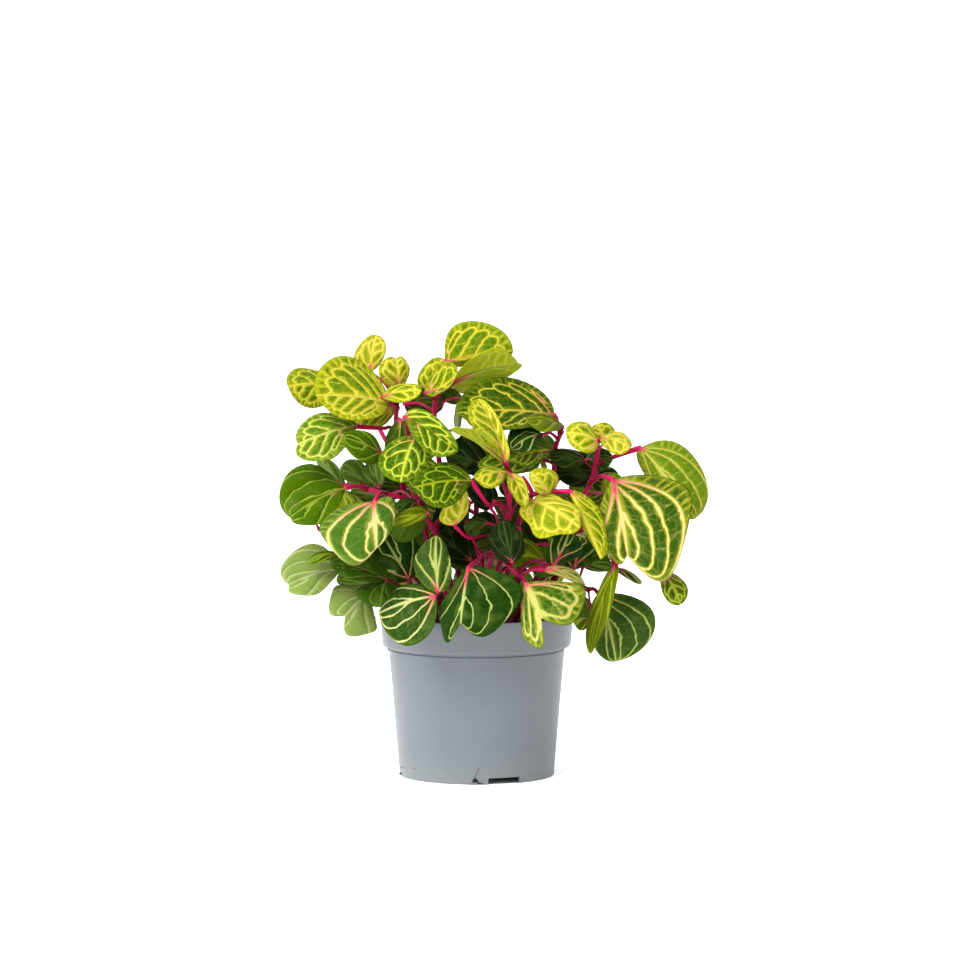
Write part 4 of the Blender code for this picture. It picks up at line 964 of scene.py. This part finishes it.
# The fine lines between the veins: rungs from vein to vein, staggered from one to the next, the outer veins, and
# an irregular net; the noise lets them come and go. strong is full on a vein, fine on these lines.
def addNet(add, of):
    mottle = add("TexNoise", {"Vector": of["flat"], "Scale": 0.5, "Detail": 3.0, "Roughness": 0.6})
    cell = add("TexVoronoi", {"Vector": of["flat"], "Scale": 1 / blades["netGap"], "Randomness": 0.9},
               feature="DISTANCE_TO_EDGE")
    netVein = add("Math", [cell, blades["netGap"]], operation="MULTIPLY")
    floor = add("Math", [of["wavy"]], operation="FLOOR")
    step = add("Math", [floor, 0.37, of["rung"]], operation="MULTIPLY_ADD")
    step = add("Math", [of["wobble"], 0.6, step], operation="MULTIPLY_ADD")
    off = add("Math", [add("Math", [step, blades["above"]], operation="ADD"), 0.5], operation="PINGPONG")
    rung = add("Math", [off, blades["rungGap"], of["outside"]], operation="MULTIPLY_ADD")
    rungs = add("MapRange", [rung, 0.1, 0.7, 1.0, 0.0], interpolation_type="SMOOTHSTEP")
    rays = add("MapRange", [of["rayVein"], 0.1, 0.8, 1.0, 0.0], interpolation_type="SMOOTHSTEP")
    ladder = add("Math", [rungs, rays], operation="MAXIMUM")
    ladder = add("Math", [ladder, add("MapRange", [mottle, 0.4, 0.62, 0.25, 1.25])], operation="MULTIPLY")
    net = add("MapRange", [netVein, 0.0, 0.5, 0.3, 0.0], interpolation_type="SMOOTHSTEP")
    fine = add("Math", [add("Math", [ladder, net], operation="MAXIMUM"), of["net"]], operation="MULTIPLY")
    edge = add("Math", [of["width"], -0.5, of["joined"]], operation="MULTIPLY_ADD")
    strong = add("MapRange", [edge, -0.25, 0.35, 1.0, 0.0], interpolation_type="SMOOTHSTEP")  # soft over 0.6 mm
    gap = add("Math", [of["net"], -1.5, add("Math", [of["rayVein"], 1.5], operation="ADD")],
              operation="MULTIPLY_ADD")
    nearest = add("Math", [of["joined"], gap], operation="MINIMUM")
    return of | {"mottle": mottle, "netVein": netVein, "fine": fine, "strong": strong, "nearest": nearest}


# The blade's colour: the tone's green, paler in a band beside the veins and at the rim, and with a painted sheen,
# a painted highlight in grey-green blotches, on the plain parts.
def addBlade(add, of):
    edge = add("Math", [of["width"], -0.5, of["nearest"]], operation="MULTIPLY_ADD")
    beside = add("MapRange", [edge, 0.0, of["band"], 1.0, 0.0], interpolation_type="SMOOTHSTEP")
    most = add("Math", [of["net"], 0.6, 0.2], operation="MULTIPLY_ADD")
    edging = add("MapRange", [of["rho"], 0.88, 0.95, 0.0, most], interpolation_type="SMOOTHSTEP")
    banded = add("Math", [beside, edging], operation="MAXIMUM")
    banded = add("Math", [banded, add("Math", [of["fine"], 0.7], operation="MULTIPLY")], operation="MAXIMUM")
    share = add("Math", [of["mottle"], 0.9, 0.55], operation="MULTIPLY_ADD")
    share = add("Math", [banded, share], operation="MULTIPLY")
    green = add("Mix", [share, of["patchColour"], of["bodyColour"]], data_type="RGBA")
    # Painted sheen: soft blotches of a lighter grey-green over the plain blade stand in for a highlight.
    blotch = add("TexNoise", {"Vector": of["flat"], "Scale": 0.11, "Detail": 1.0})
    paintedSheen = add("MapRange", [blotch, 0.5, 0.72, 0.0, 0.28], interpolation_type="SMOOTHSTEP")
    for taken in (banded, of["net"]):
        paintedSheen = add("Math", [paintedSheen, add("Math", [1.0, taken], operation="SUBTRACT")], operation="MULTIPLY")
    return add("Mix", [paintedSheen, green, linear(blades["paintedSheen"])], data_type="RGBA")


# The veins' colour: cream or yellow, flushed with rose for blush mm, and crimson where the stalk comes in.
def addFlush(add, of):
    run = add("Math", [of["along"], of["blush"]], operation="DIVIDE")
    rose = add("MapRange", [run, 0.1, 1.0, 0.85, 0.0], interpolation_type="SMOOTHSTEP")
    vein = add("Mix", [rose, of["veinColour"], linear(blades["blush"])], data_type="RGBA")
    spot = add("Math", [of["aside"], 1.3, of["along"]], operation="MULTIPLY_ADD")
    reach = add("Math", [of["blush"], 0.4, 3.0], operation="MULTIPLY_ADD")
    root = add("MapRange", [spot, 1.5, reach, 1.0, 0.0], interpolation_type="SMOOTHSTEP")
    return add("Mix", [root, vein, linear(blades["pink"])], data_type="RGBA")


# A living leaf, printed with what its blade carries: cream veins with a paler band beside them over a darker
# blade, arches near the rim with short veins beyond, a fine net, pink where the stalk comes in, a thin green rim.
# The skin is waxy, puffed up between the veins, and duller and paler below.
def makeLeaf():
    made, add = startMaterial("livingLeaf")
    of = addNet(add, addVeins(add, readMarks(add)))
    veins = add("Math", [of["strong"], add("Math", [of["fine"], 0.45], operation="MULTIPLY")], operation="MAXIMUM")
    skin = add("Mix", [veins, addBlade(add, of), addFlush(add, of)], data_type="RGBA")
    spot = add("Math", [of["aside"], 1.6, of["along"]], operation="MULTIPLY_ADD")
    root = add("MapRange", [spot, 0.5, 4.0, 0.9, 0.0], interpolation_type="SMOOTHSTEP")
    rim = add("MapRange", [of["rho"], 0.975, 0.992, 0.0, 0.6], interpolation_type="SMOOTHSTEP")
    lower = add("MapRange", [of["side"], -0.5, 0.5, 0.25, 0.0], interpolation_type="SMOOTHSTEP")
    for share, colour in ((root, linear(blades["pink"])), (rim, of["patchColour"]), (lower, linear(blades["under"]))):
        skin = add("Mix", [share, skin, colour], data_type="RGBA")
    rough = add("Math", [lower, 0.6, 0.36], operation="MULTIPLY_ADD")
    rough = add("Math", [of["mottle"], 0.12, rough], operation="MULTIPLY_ADD")
    puffed = add("MapRange", [of["nearest"], 0.0, 2.2, 0.0, 1.0], interpolation_type="SMOOTHSTEP")
    dimpled = add("MapRange", [of["netVein"], 0.0, 1.2, 0.0, 0.4], interpolation_type="SMOOTHSTEP")
    grain = add("TexNoise", {"Vector": of["flat"], "Scale": 2.4, "Detail": 2.0})
    height = add("Math", [grain, 0.25, add("Math", [puffed, dimpled], operation="ADD")], operation="MULTIPLY_ADD")
    bump = add("Bump", {"Height": height, "Strength": 0.6, "Distance": 0.6 * mm})
    return endMaterial(made, {"Base Color": skin, "Roughness": rough, "Normal": bump, "IOR": 1.42,
                              "Specular IOR Level": 0.03})


# shade, lit and bright are one crimson as painted shade, painted light and brighter painted light; low and high are
# the heights in mm over which the painted shade gives way to the painted light.
stalks = {"shade": "2E060E", "lit": "700724", "bright": "AA0448", "ridge": "7C8428", "low": 100.0, "high": 190.0}


# A crimson stalk: magenta towards the blade, with painted shade that makes it darker and duller low in the plant
# and painted light higher up, streaked along by 6 mm, smooth and a little shiny; the ridge it runs on as below a
# blade is green.
def makeStalk():
    made, add = startMaterial("crimsonStalk")
    at = add("TexCoord").outputs["Object"]
    mark = add("Attribute", attribute_name="leafMap").outputs["Vector"]
    share, ridge = list(add("SeparateXYZ", [mark]).outputs)[:2]
    flecks = add("Mapping", {"Vector": at, "Scale": (700, 700, 160)})
    streak = add("TexNoise", {"Vector": flecks, "Scale": 1.0, "Detail": 2.0})
    height = add("SeparateXYZ", [at]).outputs["Z"]
    # Painted shade and light: the stalk is drawn lighter with height, as the leaves shade it low in the plant.
    paintedLightByHeight = add("MapRange", [height, stalks["low"] * mm, stalks["high"] * mm, -0.2, 0.6])
    lit = add("Math", [paintedLightByHeight, streak], operation="ADD", use_clamp=True)
    end = add("Math", [add("MapRange", [share, 0.15, 0.6, 0.0, 0.9]), lit], operation="MULTIPLY")
    skin = add("Mix", [lit, linear(stalks["shade"]), linear(stalks["lit"])], data_type="RGBA")
    for amount, code in ((end, stalks["bright"]), (ridge, stalks["ridge"])):
        skin = add("Mix", [amount, skin, linear(code)], data_type="RGBA")
    bump = add("Bump", {"Height": streak, "Strength": 0.15, "Distance": 0.3 * mm})
    return endMaterial(made, {"Base Color": skin, "Normal": bump, "Roughness": 0.4, "IOR": 1.42,
                              "Specular IOR Level": 0.12})


# A leafy stem: its stem, leaf stalks and blades gathered into one piece in place of its CAD node.
def makeStem(name, made, materials, rng):
    forms = [stemTube(made["line"])]
    for row in made["leaves"]:
        forms += [stalkTube(made["line"], row), bladeSheet(row, rng)]
    points, faces = gather([form["solid"] for form in forms])
    which = np.concatenate([np.full(len(form["solid"][1]), form["stalk"]) for form in forms])
    marks = {title: np.vstack([form["marks"][title] for form in forms]) for title in forms[0]["marks"]}
    addPiece(name.replace("leafy_stem_", "leafyStem_"), points, faces, materials, [name], "foliage", which, marks)


def makeStems():
    materials = [makeLeaf(), makeStalk()]
    rng = random.Random(blades["seed"])
    for name, made in planStems().items():
        makeStem(name, made, materials, rng)
    print("leafy stems made")


# What surrounds the pot. The floor is in mm; the places and sizes of the light and the camera are in metres.
studio = {
    "left": -9000, "right": 9000, "front": -4000, "back": 14000, "white": "FFFFFF", "glow": 0.35, "dark": 3.0,
    "bright": 1.95, "dull": 0.8, "key": (-1.25, -1.6, 1.95), "keySize": 1.6, "keyPower": 130, "keyAim": 0.15,
    "lens": 145.875, "sensor": 36, "aim": 0.183,
}


# A plain white floor that runs on past the picture, faintly lit from beneath as a photographer's table is but for
# the spot the pot covers, and a white world a little brighter on the left.
def makeStage():
    made, add = startMaterial("opalAcrylicFloor")
    away = add("VectorMath", [add("TexCoord").outputs["Object"]], operation="LENGTH")
    glow = add("MapRange", [away, (pot["base"] - studio["dark"]) * mm, pot["base"] * mm, 0.0, studio["glow"]])
    white = linear(studio["white"])
    endMaterial(made, {"Base Color": white, "Roughness": 0.9, "Emission Color": white, "Emission Strength": glow})
    left, right, front, back = [studio[side] for side in ("left", "right", "front", "back")]
    points = np.array([(left, front, 0), (right, front, 0), (right, back, 0), (left, back, 0)], float)
    floor = addPiece("floor", points, [[0, 1, 2, 3]], [made])
    world = bpy.data.worlds.new("studio")
    world.use_nodes = True
    sky = world.node_tree.nodes["Background"]
    sky.inputs["Color"].default_value = white
    side = addNode(world.node_tree, "SeparateXYZ", [addNode(world.node_tree, "TexCoord").outputs["Generated"]])
    strength = addNode(world.node_tree, "MapRange", [side, -1.0, 1.0, studio["bright"], studio["dull"]])
    world.node_tree.links.new(strength.outputs[0], sky.inputs["Strength"])
    bpy.context.scene.world = world
    bpy.context.scene.view_settings.view_transform = "Standard"


# Puts a light or the camera in its place, facing the aim.
def putFacing(name, data, at, aim):
    made = bpy.data.objects.new(name, data)
    made.location = at
    made.rotation_euler = (mathutils.Vector(aim) - mathutils.Vector(at)).to_track_quat("-Z", "Y").to_euler()
    bpy.context.scene.collection.objects.link(made)
    return made


# One soft square light from the upper left.
def makeLight():
    light = bpy.data.lights.new("key", "AREA")
    light.shape, light.size, light.energy = "SQUARE", studio["keySize"], studio["keyPower"]
    putFacing("key", light, studio["key"], (0, 0, studio["keyAim"]))


# The camera stands where the photograph was taken from, 2.4 m off and a little above.
def makeCamera():
    lens = bpy.data.cameras.new("camera")
    lens.lens, lens.sensor_width, lens.clip_end = studio["lens"], studio["sensor"], 100
    at = growth["eye"] * mm
    bpy.context.scene.camera = putFacing("camera", lens, at, (at[0], 0, studio["aim"]))
    print("floor, light and camera made")


makePot()
makeSoil()
makeStems()
makeStage()
makeLight()
makeCamera()
